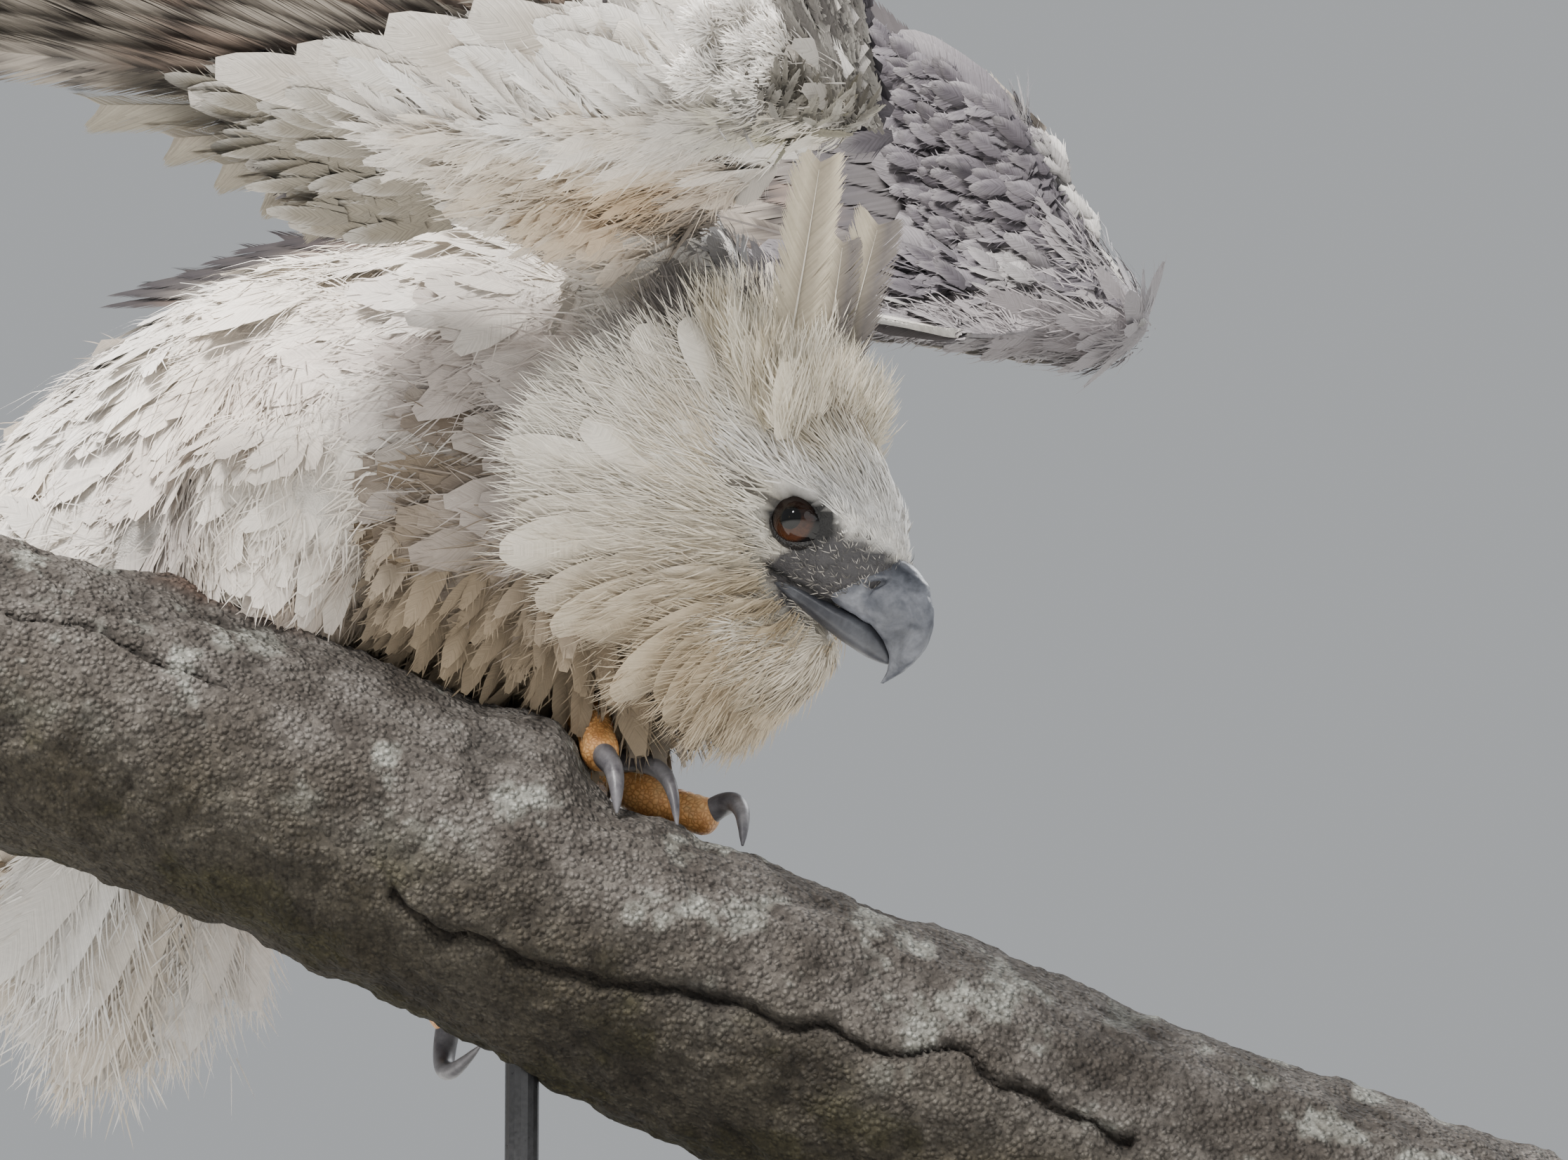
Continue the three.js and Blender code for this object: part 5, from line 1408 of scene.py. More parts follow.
        coat_object("crest", merge([*soft, tall_ones]), soft_feathers(), "head_plumage")


def flight_places():
    return np.concatenate([np.linspace(0.06, 0.25, 5), np.linspace(0.3, 0.67, 14),
                           np.linspace(0.7, 0.985, 10)])


class EAGLE_OT_wings(bpy.types.Operator):
    """Make the flight feathers and the rows of coverts on both sides of both wings."""
    bl_idname = "eagle.wings"
    bl_label = "Wings"

    def execute(self, context):
        material = firm_feathers()
        for side, label in SIDES:
            self.flights(side, label, material)
            self.coverts(side, label, material)
        self.lining()
        return {"FINISHED"}

    def flights(self, side, label, material):
        """Primaries, secondaries and tertials with their bars."""
        rng = np.random.default_rng(47 + side)
        u = flight_places()
        count = len(u)
        primary, tertial = u > 0.69, u < 0.27
        length = wing_length(side, u) * rng.uniform(0.98, 1.02, count)
        width = np.where(primary, 44, 54)
        tone = rng.uniform(-1, 1, count)
        pale = 0.35 if side > 0 else 0.1

        def paint(t, lateral, k):
            base = blend(ground(srgb(124, 116, 108), t), srgb(196, 186, 172), pale)
            base = blend(base, RUFOUS, 0.35 * smooth(0.2, 0.9, np.sin(9 * t + 5 * tone[k])) * (lateral < 0.3))
            wave = np.sin((t * 6.2 + 0.08 * tone[k] + 0.05 * np.abs(lateral)) * 2 * math.pi)
            bar = smooth(0.35, 0.75, wave) * (1 - 0.85 * tertial[k])
            base = blend(base, BAR, 0.88 * bar)
            dark = smooth(0.86, 0.95, t)
            olive = blend(base, srgb(150, 144, 128), 0.7 * tertial[k])
            olive = blend(olive, COVERT_DARK * 0.6, 0.9 * smooth(0.55, 0.35, t) * (side < 0))
            return blend(olive, TIP_DARK, 0.9 * dark * (1 - tertial[k] * (side > 0)))

        column = np.arange(count)
        uv = np.c_[0.02 + 0.12 * (column % 8), 0.02 + 0.12 * (column // 8) + (0.5 if side < 0 else 0)]
        pieces = vanes(rng, wing_bone(side, u), wing_lie(side, u), wing_face(side, u), length, width, uv,
                       paint, roll=-0.18 * side, bend=16, barbs=190, quill=0.22, point=0.72, tip=0.4,
                       slant=1.6, cup=0.1, ragged=0.03, shaft=1.6,
                       shaft_colour=srgb(190, 180, 165) if side > 0 else srgb(104, 98, 94), patch=0.1,
                       fill=1.0)
        coat_object(f"flight_feathers_{label}", pieces, material, "wing_plumage", f"wing_{label}")

    def coverts(self, side, label, material):
        """Rows of coverts over and under the wing."""
        rng = np.random.default_rng(57 + side)
        far = side < 0
        for over in (1, -1):
            upper = over > 0
            rows = [(30, 0.02, 0.985, 118, 38, 0.0), (34, 0.02, 0.985, 88, 30, 0.0)]
            if upper:
                step, each, size, wide = (6.2, 76, 22, 11.5) if far else (7.5, 58, 27, 15)
                rows += [(each, 0.02, 1.0, size, wide, s) for s in np.arange(96, -26, -step)]
            else:
                rows += [(38 if far else 54, 0.02, 1.0, 36, 17, s) for s in np.arange(82, -22, -9.0)]
            root, along, face, length, width, tall, us, ss = [], [], [], [], [], [], [], []
            for count, low, high, long, wide, s in rows:
                u = np.clip(mix(low, high, (np.arange(count) + rng.uniform(0, 1, count)) / count), 0, 1)
                big = long > 60
                bone = 11 + (WINGS[side]["fleece"] * smooth(0.45, 0.68, u))
                height = bone * np.exp(-((np.maximum(s, 0) / 90.0) ** 2)) + 5
                height = height * (smooth(-34, 0, s) if s < 0 else 1.0)
                place = np.full(count, s) + rng.uniform(-4, 4, count)
                root.append(wing_surface(side, u, place, over * (height if not big else np.full(count, 6.0))))
                lie = wing_lie(side, u)
                f = wing_face(side, u) * over
                way = lie + f * (-0.06 if s > 0 and not big else 0.05)
                wander = (0.03 if big else 0.26) if upper else (0.03 if big else 0.1)
                along.append(way + wander * rng.normal(size=lie.shape))
                face.append(f)
                shorter = mix(0.75, 1.0, smooth(0.0, 0.4, u)) if big else 1.0
                length.append(long * shorter * rng.uniform(0.8, 1.15, count))
                width.append(np.full(count, float(wide)) * rng.uniform(0.85, 1.15, count))
                tall.append(np.full(count, float(big)))
                us.append(u)
                ss.append(place)
            root, along, face = np.vstack(root), np.vstack(along), np.vstack(face)
            length, width, tall, u, s = [np.concatenate(a) for a in (length, width, tall, us, ss)]
            if far and not upper:
                columns = (root, along, face, length, width, tall, u, s)
                root, along, face, length, width, tall, u, s = [a[s > -4] for a in columns]
            tone = rng.uniform(-1, 1, len(root)) * 0.6 + 0.6 * mottle(root, 45, 61)
            leading = smooth(-14, -24, s) * smooth(0.3, 0.5, u)
            white = 0.75 * smooth(0.45, 0.75, mottle(root, 60, 62)) + (0.8 * leading if far else 0.0)
            grey_cap = smooth(-4, -18, s) * smooth(0.5, 0.66, u) * (not far)
            hidden = 0.85 * smooth(0.46, 0.3, u) * far
            # inner: dark olive grey of the inner under coverts, partly their own colour and partly painted
            # shade.
            inner = smooth(0.44, 0.3, u) * smooth(0, 34, s)
            pale_under = stains_and_shade(root, np.tile(WHITE, (len(root), 1)))

            def paint(t, lateral, k):
                edge = smooth(0.62, 0.98, np.hypot(t * 0.98, lateral * 0.55))
                if upper:
                    base = blend(ground(COVERT, t), COVERT_DARK, 0.45 + 0.5 * tone[k])
                    middle = smooth(0.5, 0.05, np.abs(lateral)) * smooth(0.15, 0.6, t)
                    base = blend(base, COVERT_DARK * 0.7, 0.6 * middle)
                    base = blend(base, COVERT_EDGE, 0.3 * edge)
                    base = blend(base, COVERT_DARK * 0.6, hidden[k])
                    base = blend(base, WHITE, white[k])
                    # Painted shade at the root of each covert.
                    return base * mix(0.55, 1, smooth(0, 0.5, t))[..., None]
                base = blend(pale_under[k], WARM, 0.22 + 0.2 * tone[k] + 0.12 * tall[k])
                arc = smooth(0.5, 1.0, np.sin(17 * np.hypot(t, 0.45 * lateral)))
                base = blend(base, srgb(192, 178, 160), 0.45 * tall[k])
                base = blend(base, srgb(158, 144, 126), 0.5 * arc * tall[k])
                base = blend(base, srgb(118, 110, 92), 0.85 * inner[k])
                base = blend(base, srgb(138, 134, 132), 0.75 * grey_cap[k])
                # Painted shade at the root of each covert.
                return blend(base, WHITE, 0.4 * edge) * mix(0.86, 1, smooth(0, 0.45, t))[..., None]

            uv = np.c_[0.02 + 0.46 * u + (0.5 if far else 0), 0.05 + 0.85 * (s + 40) / 140]
            big = tall > 0
            pieces = []
            for group, settings in ((big, dict(fringe=40, fray=0.10, hair=0.7, point=0.62, cup=0.08,
                                               soft=0.6, even=0.5, rows=(0, 0.2, 0.4, 0.6, 0.78, 0.9, 0.97))),
                                    (~big, dict(fringe=12 if upper else 22, fray=0.42 if upper else 0.34,
                                                hair=0.7, point=0.4, cup=0.3 if upper else 0.12,
                                                soft=0.3 if upper else 0.8, even=0.0 if upper else 0.7,
                                                rows=(0, 0.35, 0.65, 0.86, 0.98)))):
                member = np.flatnonzero(group)
                pieces.append(plumes(rng, root[member], along[member], face[member], length[member],
                                     width[member], uv[member], lambda t, lateral,
                                     k: paint(t, lateral, member[k]),
                                     roll=(-0.09 * side * over + rng.normal(0, 0.3 if upper else 0.1,
                                                                            len(member))
                                           * (~big[member])),
                                     bend=np.where(big[member], 3.0, 3.5 if upper else 1.5),
                                     sweep=rng.uniform(-3, 3, len(member)), **settings))
            coat_object(f"coverts_{label}_{'upper' if upper else 'lower'}", merge(pieces), material,
                        "wing_plumage")

    def lining(self):
        """The loose pale feathers under the near wing, from its front edge back to the shoulder."""
        rng = np.random.default_rng(77)

        def web(count, low):
            t, w = rng.uniform(0, 1, count), rng.uniform(low, 1.0, count)
            front, bone = wing_front(1, t)
            u = mix(0.1, 0.7, t)
            under = -wing_face(1, u)
            w = w * (1 - 0.3 * smooth(0.4, 0.55, t) * smooth(0.98, 0.85, t))
            root = mix(bone, front, w[:, None]) + UP * (4 * np.sin(np.pi * np.clip(w, 0, 1)))[:, None]
            root = root + under * (3 + 13 * smooth(1.0, 0.5, w))[:, None]
            back = unit(bone - front + wing_lie(1, u) * 22.0)
            tuft = mottle(root, 30, 91)
            along = unit(mix(wing_lie(1, u), back, 0.8)) + 0.24 * rng.normal(size=(count, 3))
            along = along + under * ((0.06 + 0.2 * np.maximum(tuft, 0)) * smooth(1.0, 0.6, w))[:, None]
            uv = np.c_[0.05 + 0.9 * t, 0.05 + 0.85 * np.clip(w, 0, 1)]
            colour = stains_and_shade(root, blend(np.tile(WHITE, (count, 1)), WARM, 0.3 + 0.3 * mottle(root, 24, 92)))
            return root, unit(along), under, tuft, colour * rng.uniform(0.92, 1.04, (count, 1)), uv

        def paint_with(colour):
            def paint(t, lateral, k):
                # Painted shade and highlight: each feather a little darker at its root, lighter at its edge.
                edge = smooth(0.4, 1, np.hypot(t, 0.5 * lateral))
                return colour[k] * mix(0.92, 1.04, edge)[..., None]
            return paint

        root, along, under, tuft, colour, uv = web(1250, -0.05)
        count = len(root)
        length = 27 * (1 + 0.3 * tuft) * rng.uniform(0.75, 1.25, count)
        base = plumes(rng, root, along, under, length, length * rng.uniform(0.26, 0.38, count), uv,
                      paint_with(colour), roll=rng.normal(0, 0.15, count), bend=length * 0.06,
                      sweep=rng.normal(0, 3, count), rows=(0, 0.35, 0.65, 0.85, 0.98), columns=(-1, 0, 1),
                      fringe=20, fray=0.8, hair=0.7, quill=0.4, point=0.3, soft=0.9, loose=0.12, even=0.6)
        root, along, under, tuft, colour, uv = web(5200, 0.0)
        hairs = tufts(rng, root, along, under, rng.uniform(16, 34, len(root)), 6, 3, colour, np.minimum(
            colour * 1.05, 1), uv, lift=0.16, curl=0.12, strand=0.8, rings=2, dark=0.9, spread=0.35)
        count = 420
        u, behind = rng.uniform(0.34, 0.66, count), rng.uniform(-8, 34, count)
        root = wing_surface(1, u, behind, -(14 + 6 * rng.random(count)))
        under = -wing_face(1, u)
        rise = smooth(0.3, 0.42, u)
        along = wing_lie(1, u) + UP * (1.1 * rise)[:, None] + 0.2 * rng.normal(size=(count, 3))
        along = unit(along) + under * rng.uniform(0.04, 0.3, count)[:, None]
        colour = stains_and_shade(root, blend(np.tile(WHITE, (count, 1)), WARM, 0.3 * rng.random(count)))
        uv = np.c_[0.05 + 0.9 * (u - 0.1) / 0.6, 0.1 + 0.3 * (behind + 10) / 50]
        length = rng.uniform(28, 58, count)
        quills = plumes(rng, root, along, under, length, rng.uniform(6.5, 10.5, count), uv,
                        paint_with(colour), roll=rng.normal(0, 0.5, count), bend=length * 0.08,
                        sweep=rng.normal(0, 4, count), rows=(0, 0.3, 0.6, 0.85, 0.98), columns=(-1, 0, 1),
                        fringe=34, fray=0.7, hair=0.7, quill=0.5, point=0.25, soft=0.8, loose=0.1, ends=0.3,
                        even=0.3)
        soft = soft_feathers()
        coat_object("lining_right", merge([base, hairs, quills]), soft, "wing_plumage")
        coat_object("wrist_right", merge([self.cap(rng), self.down(rng)]), soft, "wing_plumage")

    def cap(self, rng):
        """Small grey streaked feathers that wrap the front edge of the near wing's wrist and hand."""
        count = 800
        u, s = rng.uniform(0.6, 1.0, count), rng.uniform(-24, 16, count)
        root = wing_surface(1, u, s, -(20 * smooth(-34, 4, s)))
        span = unit(wing_bone(1, np.minimum(u + 0.02, 1)) - wing_bone(1, np.minimum(u + 0.02, 1) - 0.02))
        along = 0.75 * span + 0.6 * wing_lie(1, u) + 0.12 * rng.normal(size=(count, 3))
        out = unit(-wing_face(1, u) - wing_lie(1, u) * smooth(6, -20, s)[:, None])
        tone = rng.uniform(0, 1, count)
        colour = blend(np.tile(srgb(156, 152, 146), (count, 1)), srgb(82, 78, 76), tone)
        colour = stains_and_shade(root, colour)

        def paint(t, lateral, k):
            return colour[k] * mix(0.8, 1.1, smooth(0.2, 1.0, np.abs(lateral)))[..., None]

        uv = np.c_[0.5 + 0.45 * (u - 0.6) / 0.4, 0.9 + 0.08 * (s + 24) / 40]
        return plumes(rng, root, along + out * 0.1, out, rng.uniform(20, 32, count),
                      rng.uniform(3.2, 5.2, count), uv, paint, roll=rng.normal(0, 0.2, count), bend=2.5,
                      rows=(0, 0.4, 0.75, 0.98), columns=(-1, 0, 1), fringe=18, fray=0.6, hair=0.7,
                      quill=0.5, point=0.4, soft=0.8, loose=0.1)

    def down(self, rng):
        """Rounded clumps of white down beside the wrist."""
        clumps = 13
        u, s = rng.uniform(0.63, 0.76, clumps), rng.uniform(22, 62, clumps)
        middle = wing_surface(1, u, s, -(16 + 4 * rng.random(clumps)))
        out = unit(-wing_face(1, u))
        pick = np.repeat(np.arange(clumps), 70)
        ball = unit(rng.normal(size=(len(pick), 3)) + 0.9 * out[pick])
        root = middle[pick] + ball * 6
        lie = unit(ball + 0.8 * wing_lie(1, u[pick]))
        colour = stains_and_shade(root, blend(np.tile(WHITE, (len(pick), 1)), WARM, 0.2 * rng.random(len(pick))))
        uv = np.c_[0.55 + 0.4 * (u[pick] - 0.63) / 0.13, 0.3 + 0.3 * (s[pick] - 22) / 40]
        return tufts(rng, root, lie, ball, rng.uniform(9, 15, len(pick)), 7, 5, colour,
                     np.minimum(colour * 1.04, 1), uv, lift=0.3, curl=0.5, strand=0.8, rings=3, dark=0.75,
                     spread=0.6)


class EAGLE_OT_tail(bpy.types.Operator):
    """Make the tail, its coverts and the long loose feathers of the vent."""
    bl_idname = "eagle.tail"
    bl_label = "Tail"

    def execute(self, context):
        rng = np.random.default_rng(67)
        material = firm_feathers()
        root = np.array([-268.0, 152, 436])
        lie = unit([-286, 66, -206])
        across = unit(np.cross(lie, UP))
        face = unit(np.cross(across, lie))
        spread = np.linspace(-1, 1, 12)
        tone = rng.uniform(-1, 1, 12)

        def paint(t, lateral, k):
            base = blend(ground(srgb(168, 162, 156), t), srgb(206, 200, 192), 0.3 * tone[k] + 0.3)
            bar = smooth(0.3, 0.7, np.sin((t * 5.4 + 0.04 * tone[k] + 0.03 * np.abs(lateral)) * 2 * math.pi))
            base = blend(base, BAR, 0.8 * bar)
            return blend(base, srgb(210, 204, 196), smooth(0.955, 0.99, t))

        column = np.arange(12)
        uv = np.c_[0.02 + 0.16 * (column % 6), 0.02 + 0.2 * (column // 6)]
        along = lie + across * (0.17 * spread)[:, None]
        roots = root + across * (15 * spread)[:, None] - face * (3 * np.abs(spread))[:, None]
        tail = vanes(rng, roots, along, np.tile(face, (12, 1)), 385 - 14 * np.abs(spread), 54, uv, paint,
                     roll=0.1 * np.sign(spread), bend=12, barbs=90, quill=0.3, point=0.85, tip=0.55,
                     slant=1.4, cup=0.06, ragged=0.03, shaft=1.8, shaft_colour=srgb(200, 192, 180),
                     patch=0.14, fill=1.0)
        coat_object("tail_feathers", tail, material, "tail_plumage", "tail")
        roots, ways, faces, lengths, widths, tops = [], [], [], [], [], []
        for over, rows in ((1, ((9, 124, 0.0), (9, 84, -18.0), (8, 60, -34.0))),
                           (-1, ((10, 165, 0.0), (10, 120, -16.0), (9, 80, -32.0)))):
            for count, long, back in rows:
                for s in np.linspace(-1, 1, count):
                    roots.append(root + across * 24 * s + face * over * (9 - 0.15 * back) + lie * back)
                    ways.append(lie + across * 0.24 * s + face * 0.05 * over + 0.04 * rng.normal(size=3))
                    faces.append(face * over)
                    lengths.append(long * rng.uniform(0.85, 1.12))
                    widths.append(rng.uniform(30, 38))
                    tops.append(float(over > 0))
        tops = np.array(tops)

        def soft(t, lateral, k):
            base = blend(ground(WHITE, t), WARM, 0.2)
            base = mix(base, blend(ground(MANTLE, t), COVERT_EDGE,
                                   smooth(0.6, 0.95, np.hypot(t, 0.6 * lateral))), tops[k][..., None] * 0.8)
            # Painted shade at the root of each covert.
            return base * mix(0.65, 1, smooth(0, 0.4, t))[..., None]

        uv = skin_uv(np.full(len(roots), REGION["trunk"]), rng.random((len(roots), 2)))
        loose = vanes(rng, np.array(roots), np.array(ways), np.array(faces), np.array(lengths),
                      np.array(widths), uv, soft, roll=0.12, bend=8, barbs=30, quill=0.5, point=0.5,
                      tip=0.25, slant=1.5, cup=0.2, ragged=0.12, shaft=0.4)
        coat_object("tail_coverts", loose, material, "tail_plumage")
        self.vent(rng)
        return {"FINISHED"}

    def vent(self, rng):
        """Long loose feathers that hang behind the thighs."""
        count = 52
        a = rng.uniform(-0.5, 0.5, count)
        depth = rng.uniform(0, 1, count)
        root = np.array([-190.0, 108, 424]) + np.c_[52 * a, 16 * a + 22 * depth, 22 * rng.random(count)]
        along = np.c_[-0.3 + 0.42 * a, -0.02 + 0.12 * (depth - 0.5), -np.ones(count)]
        along = along + 0.05 * rng.normal(size=along.shape)
        face = np.c_[0.1 + a, -np.ones(count), np.zeros(count)]
        length = (1 - 0.5 * np.abs(a)) * np.where(depth < 0.55, 1, 0.8) * rng.uniform(140, 188, count)
        width = rng.uniform(34, 50, count)
        tone = rng.uniform(-1, 1, count)

        def paint(t, lateral, k):
            base = blend(ground(WHITE, t), WARM, 0.25 + 0.3 * tone[k])
            # Painted shade: each vent feather darkens toward its root.
            base = blend(base, SHADE, 0.45 * smooth(0.55, 0.0, t))
            return base * mix(0.6, 1, smooth(0, 0.5, t))[..., None]

        uv = skin_uv(np.full(count, REGION["trunk"]),
                     np.c_[0.8 + 0.15 * rng.random(count), rng.random(count)])
        pieces = plumes(rng, root, along, face, length, width, uv, paint, roll=rng.normal(0.1, 0.2, count),
                        bend=rng.uniform(-12, 6, count), sweep=rng.uniform(-14, 14, count),
                        rows=(0, 0.2, 0.4, 0.6, 0.78, 0.9, 0.98), fringe=150, fray=0.5, hair=0.9, quill=0.5,
                        point=0.55, cup=0.1, soft=0.9, loose=0.1, ends=0.35, even=0.6)
        pick = rng.integers(0, count, 3200)
        t, across = rng.uniform(0.1, 1.0, len(pick)), rng.uniform(-0.5, 0.5, len(pick))
        way, out = unit(along[pick]), unit(face[pick])
        beside = unit(np.cross(way, out))
        p = root[pick] + way * (t * length[pick])[:, None]
        p = p + beside * (across * width[pick])[:, None] + out * 2
        colour = paint(t, across * 2, pick)
        hairs = tufts(rng, p, unit(way + beside * (0.8 * across)[:, None]), out, rng.uniform(16, 34, len(p)),
                      6, 2, colour, np.minimum(colour * 1.06, 1), uv[pick], lift=0.05, curl=0.05, strand=0.8,
                      rings=2, dark=0.95, spread=0.3)
        coat_object("vent_feathers", merge([pieces, hairs]), soft_feathers(), "body_plumage")


class EAGLE_OT_bill(bpy.types.Operator):
    """Make the hooked bill with its nostrils and the line of the mouth."""
    bl_idname = "eagle.bill"
    bl_label = "Bill"

    def execute(self, context):
        upper = [((18, 4), (8, -27.2), 16), ((36, 6), (33, -26.8), 15.5), ((50, 6), (47, -26.6), 14),
                 ((58, 4), (53, -27.6), 12.5), ((65, 0), (57.5, -29.6), 10.5),
                 ((72.5, -8.5), (61.5, -32.3), 8.4), ((76.6, -19), (64.2, -35), 6.2),
                 ((76, -29.5), (65.4, -38.8), 4.4), ((71.6, -39.2), (66, -43), 2.6),
                 ((66.6, -47.4), (65.4, -47.8), 0.8)]
        points, tris = bill_shell(upper, 96, 170, 0.36)
        f, r, u = head_place(points)
        for side in (1, -1):
            df, du = f - 45, u + 7.8
            along, across = (df * 0.65 + du * 0.76) / 5.6, (du * 0.65 - df * 0.76) / 2.1
            d = np.hypot(along, across)
            on = (r * side > 4)
            points -= np.outer(smooth(1.2, 0.5, d) * on * 4.5 * side, HEAD_RIGHT)
            points += np.outer(np.exp(-(((d - 1.6) / 0.4) ** 2)) * on * 0.5 * side, HEAD_RIGHT)
        cere = smooth(43, 39, f + 0.3 * (u + 10)) * (f > 16)
        points += unit(points - head_point(40, 0, -12)) * (0.7 * cere)[:, None]
        hollow = 0.5 * mottle(points, 7, 111) + 0.25 * mottle(points, 2.6, 112)
        points += unit(points - head_point(48, 0, -18)) * (hollow * smooth(-46, -38, u))[:, None]
        top = make_object("upper_bill", points, tris)
        horn = horn_material("slate horn", srgb(58, 61, 70), srgb(158, 161, 170))
        finish(top, horn, "horn", "bill_upper")
        below = [((-3, -28.4), (2, -37), 17.5), ((14, -27.6), (14, -38.8), 15.4),
                 ((33, -27), (33, -40.6), 13), ((47, -26.8), (46, -41.4), 10.4),
                 ((56, -29), (56, -40.6), 7.6), ((62, -33), (62.5, -39.2), 4.4),
                 ((65, -36), (65.4, -38), 1.4)]
        points, tris = bill_shell(below, 72, 90, -0.3)
        points += unit(points - head_point(40, 0, -36)) * (0.35 * mottle(points, 5, 113))[:, None]
        lower = make_object("lower_bill", points, tris)
        finish(lower, horn_material("dark horn", srgb(46, 47, 54), srgb(100, 102, 108)), "horn", "bill_lower")
        return {"FINISHED"}


def bill_shell(profile, sides, steps, narrow):
    """A horn sheath between its upper and lower outline, narrower above or (negative) below."""
    t = np.linspace(0, 1, steps)
    flat = np.array([(*a, *b, w) for a, b, w in profile], float)
    ends = [curve_points(np.c_[flat[:, k], np.zeros((len(flat), 2))], t, False)[:, 0] for k in range(5)]
    centred = np.zeros(steps)
    high = head_point(ends[0], centred, ends[1])
    low = head_point(ends[2], centred, ends[3])
    angle = 2 * math.pi * np.arange(sides) / sides
    s, c = np.sin(angle), np.cos(angle)
    round_side = s * np.sign(narrow) > 0
    height = np.sign(s) * np.where(round_side, np.abs(s) ** 0.85, np.abs(s) ** 0.42)
    wide = np.sign(c) * np.abs(c) ** 0.7 * (1 - abs(narrow) * np.clip(height * np.sign(narrow), 0, 1) ** 2)
    middle, half = (high + low) / 2, (high - low) / 2
    points = (middle[:, None] + half[:, None] * height[None, :, None]
              + HEAD_RIGHT * (ends[4][:, None] * wide[None])[..., None])
    points = np.vstack([points.reshape(-1, 3), middle[0], middle[-1]])
    tris = np.vstack([ring_tris(steps, sides), end_tris(steps, sides)])
    a, b, c3 = points[tris[:, 0]], points[tris[:, 1]], points[tris[:, 2]]
    if np.sum(np.cross(b - a, c3 - a) * (a - points.mean(axis=0))) < 0:
        tris = tris[:, [0, 2, 1]]
    return points, tris


class EAGLE_OT_eyes(bpy.types.Operator):
    """Make the eyes, with the bulge of their fronts, and the lids."""
    bl_idname = "eagle.eyes"
    bl_label = "Eyes"

    def execute(self, context):
        bare = plan("eagle_bare")
        lid = Nodes("lid skin")
        grain = lid.cells(1100.0)
        lid.set(Base_Color=lid.ramp(grain, (0.1, srgb(10, 9, 10)), (0.7, srgb(34, 31, 31))), Roughness=0.38,
                Normal=lid.bump(grain, 0.6, 0.0008))
        for side, label in SIDES:
            axis = unit(head_vector(0.1, side, 0.02))
            centre = head_point(0, EYE_OFFSET * side, 0)
            self.ball(label, centre, axis, bare)
            across = unit(np.cross(axis, HEAD_UP))
            across *= np.sign(across @ HEAD_FORWARD)
            points, tris = lid_ring(centre, axis, across, unit(np.cross(across, axis)) * side)
            piece = make_object(f"lids_{label}", points, tris)
            finish(piece, lid.material, "eye")
        return {"FINISHED"}

    def ball(self, label, centre, axis, bare):
        """The eyeball, with its iris and pupil in one material."""
        rings = []
        for a in np.linspace(0, math.pi, 72):
            bulge = 1.5 * max(0.0, 1 - (math.sin(a) / 0.74) ** 2) if a < 0.84 else 0.0
            rings.append((math.sin(a) * EYE_RADIUS, math.cos(a) * EYE_RADIUS + bulge))
        u = unit(np.cross(axis, UP))
        points, tris = revolve(centre, axis, u, np.cross(u, axis), rings, 64)
        eye = make_object(f"eyeball_{label}", points, tris)
        n = Nodes(f"iris {label}")
        gap = n.vector("SUBTRACT", "Vector", n.place(), tuple(centre * MM))
        along = n.vector("DOT_PRODUCT", "Value", gap, tuple(Vector(axis)))
        total = n.vector("LENGTH", "Value", gap)
        off = n.maths("SQRT", n.maths("SUBTRACT", n.maths("MULTIPLY", total, total),
                                      n.maths("MULTIPLY", along, along), True))
        front = n.maths("GREATER_THAN", along, 0.0)
        fibre = n.noise(700, 4, 0.6)
        # Painted light and shade: the iris is painted lighter brown below and darker above.
        height = n.maths("ADD", n.maths("MULTIPLY", n.add("ShaderNodeSeparateXYZ", {0: gap}).outputs["Z"],
                                        -60.0),
                         0.05, True)
        iris = n.mix((*bare.iris, 1), (*srgb(84, 48, 28), 1), height)
        iris = n.times(iris, n.ramp(fibre, (0.3, (0.45, 0.42, 0.4)), (0.7, (1.25, 1.2, 1.15))), 0.8)
        rim = n.add("ShaderNodeMapRange", {0: off, 1: bare.iris_radius * 0.86, 2: bare.iris_radius, 3: 0.0,
                                           4: 1.0})
        colour = n.mix(iris, (*srgb(14, 12, 12), 1), rim.outputs[0])
        pupil = n.add("ShaderNodeMapRange", {0: off, 1: bare.pupil_radius, 2: bare.pupil_radius * 1.07,
                                             3: 0.0, 4: 1.0})
        colour = n.mix((0.002, 0.002, 0.002, 1), colour, pupil.outputs[0])
        colour = n.mix((*srgb(20, 17, 16), 1), colour, front)
        n.set(Base_Color=colour, Roughness=0.03, Specular_IOR_Level=0.4)
        finish(eye, n.material, "eye", f"eye_{label}")


def revolve(centre, axis, u, v, rings, sides):
    """A surface turned about an axis, from (radius, height) pairs."""
    angle = 2 * math.pi * np.arange(sides) / sides
    turned = np.cos(angle)[:, None] * u + np.sin(angle)[:, None] * v
    points = np.vstack([centre + axis * height + radius * turned for radius, height in rings])
    normal = points - centre
    facing = np.where(np.linalg.norm(normal, axis=1, keepdims=True) > 0, normal, axis)
    return points, tri_facing(points, ring_tris(len(rings), sides), facing)


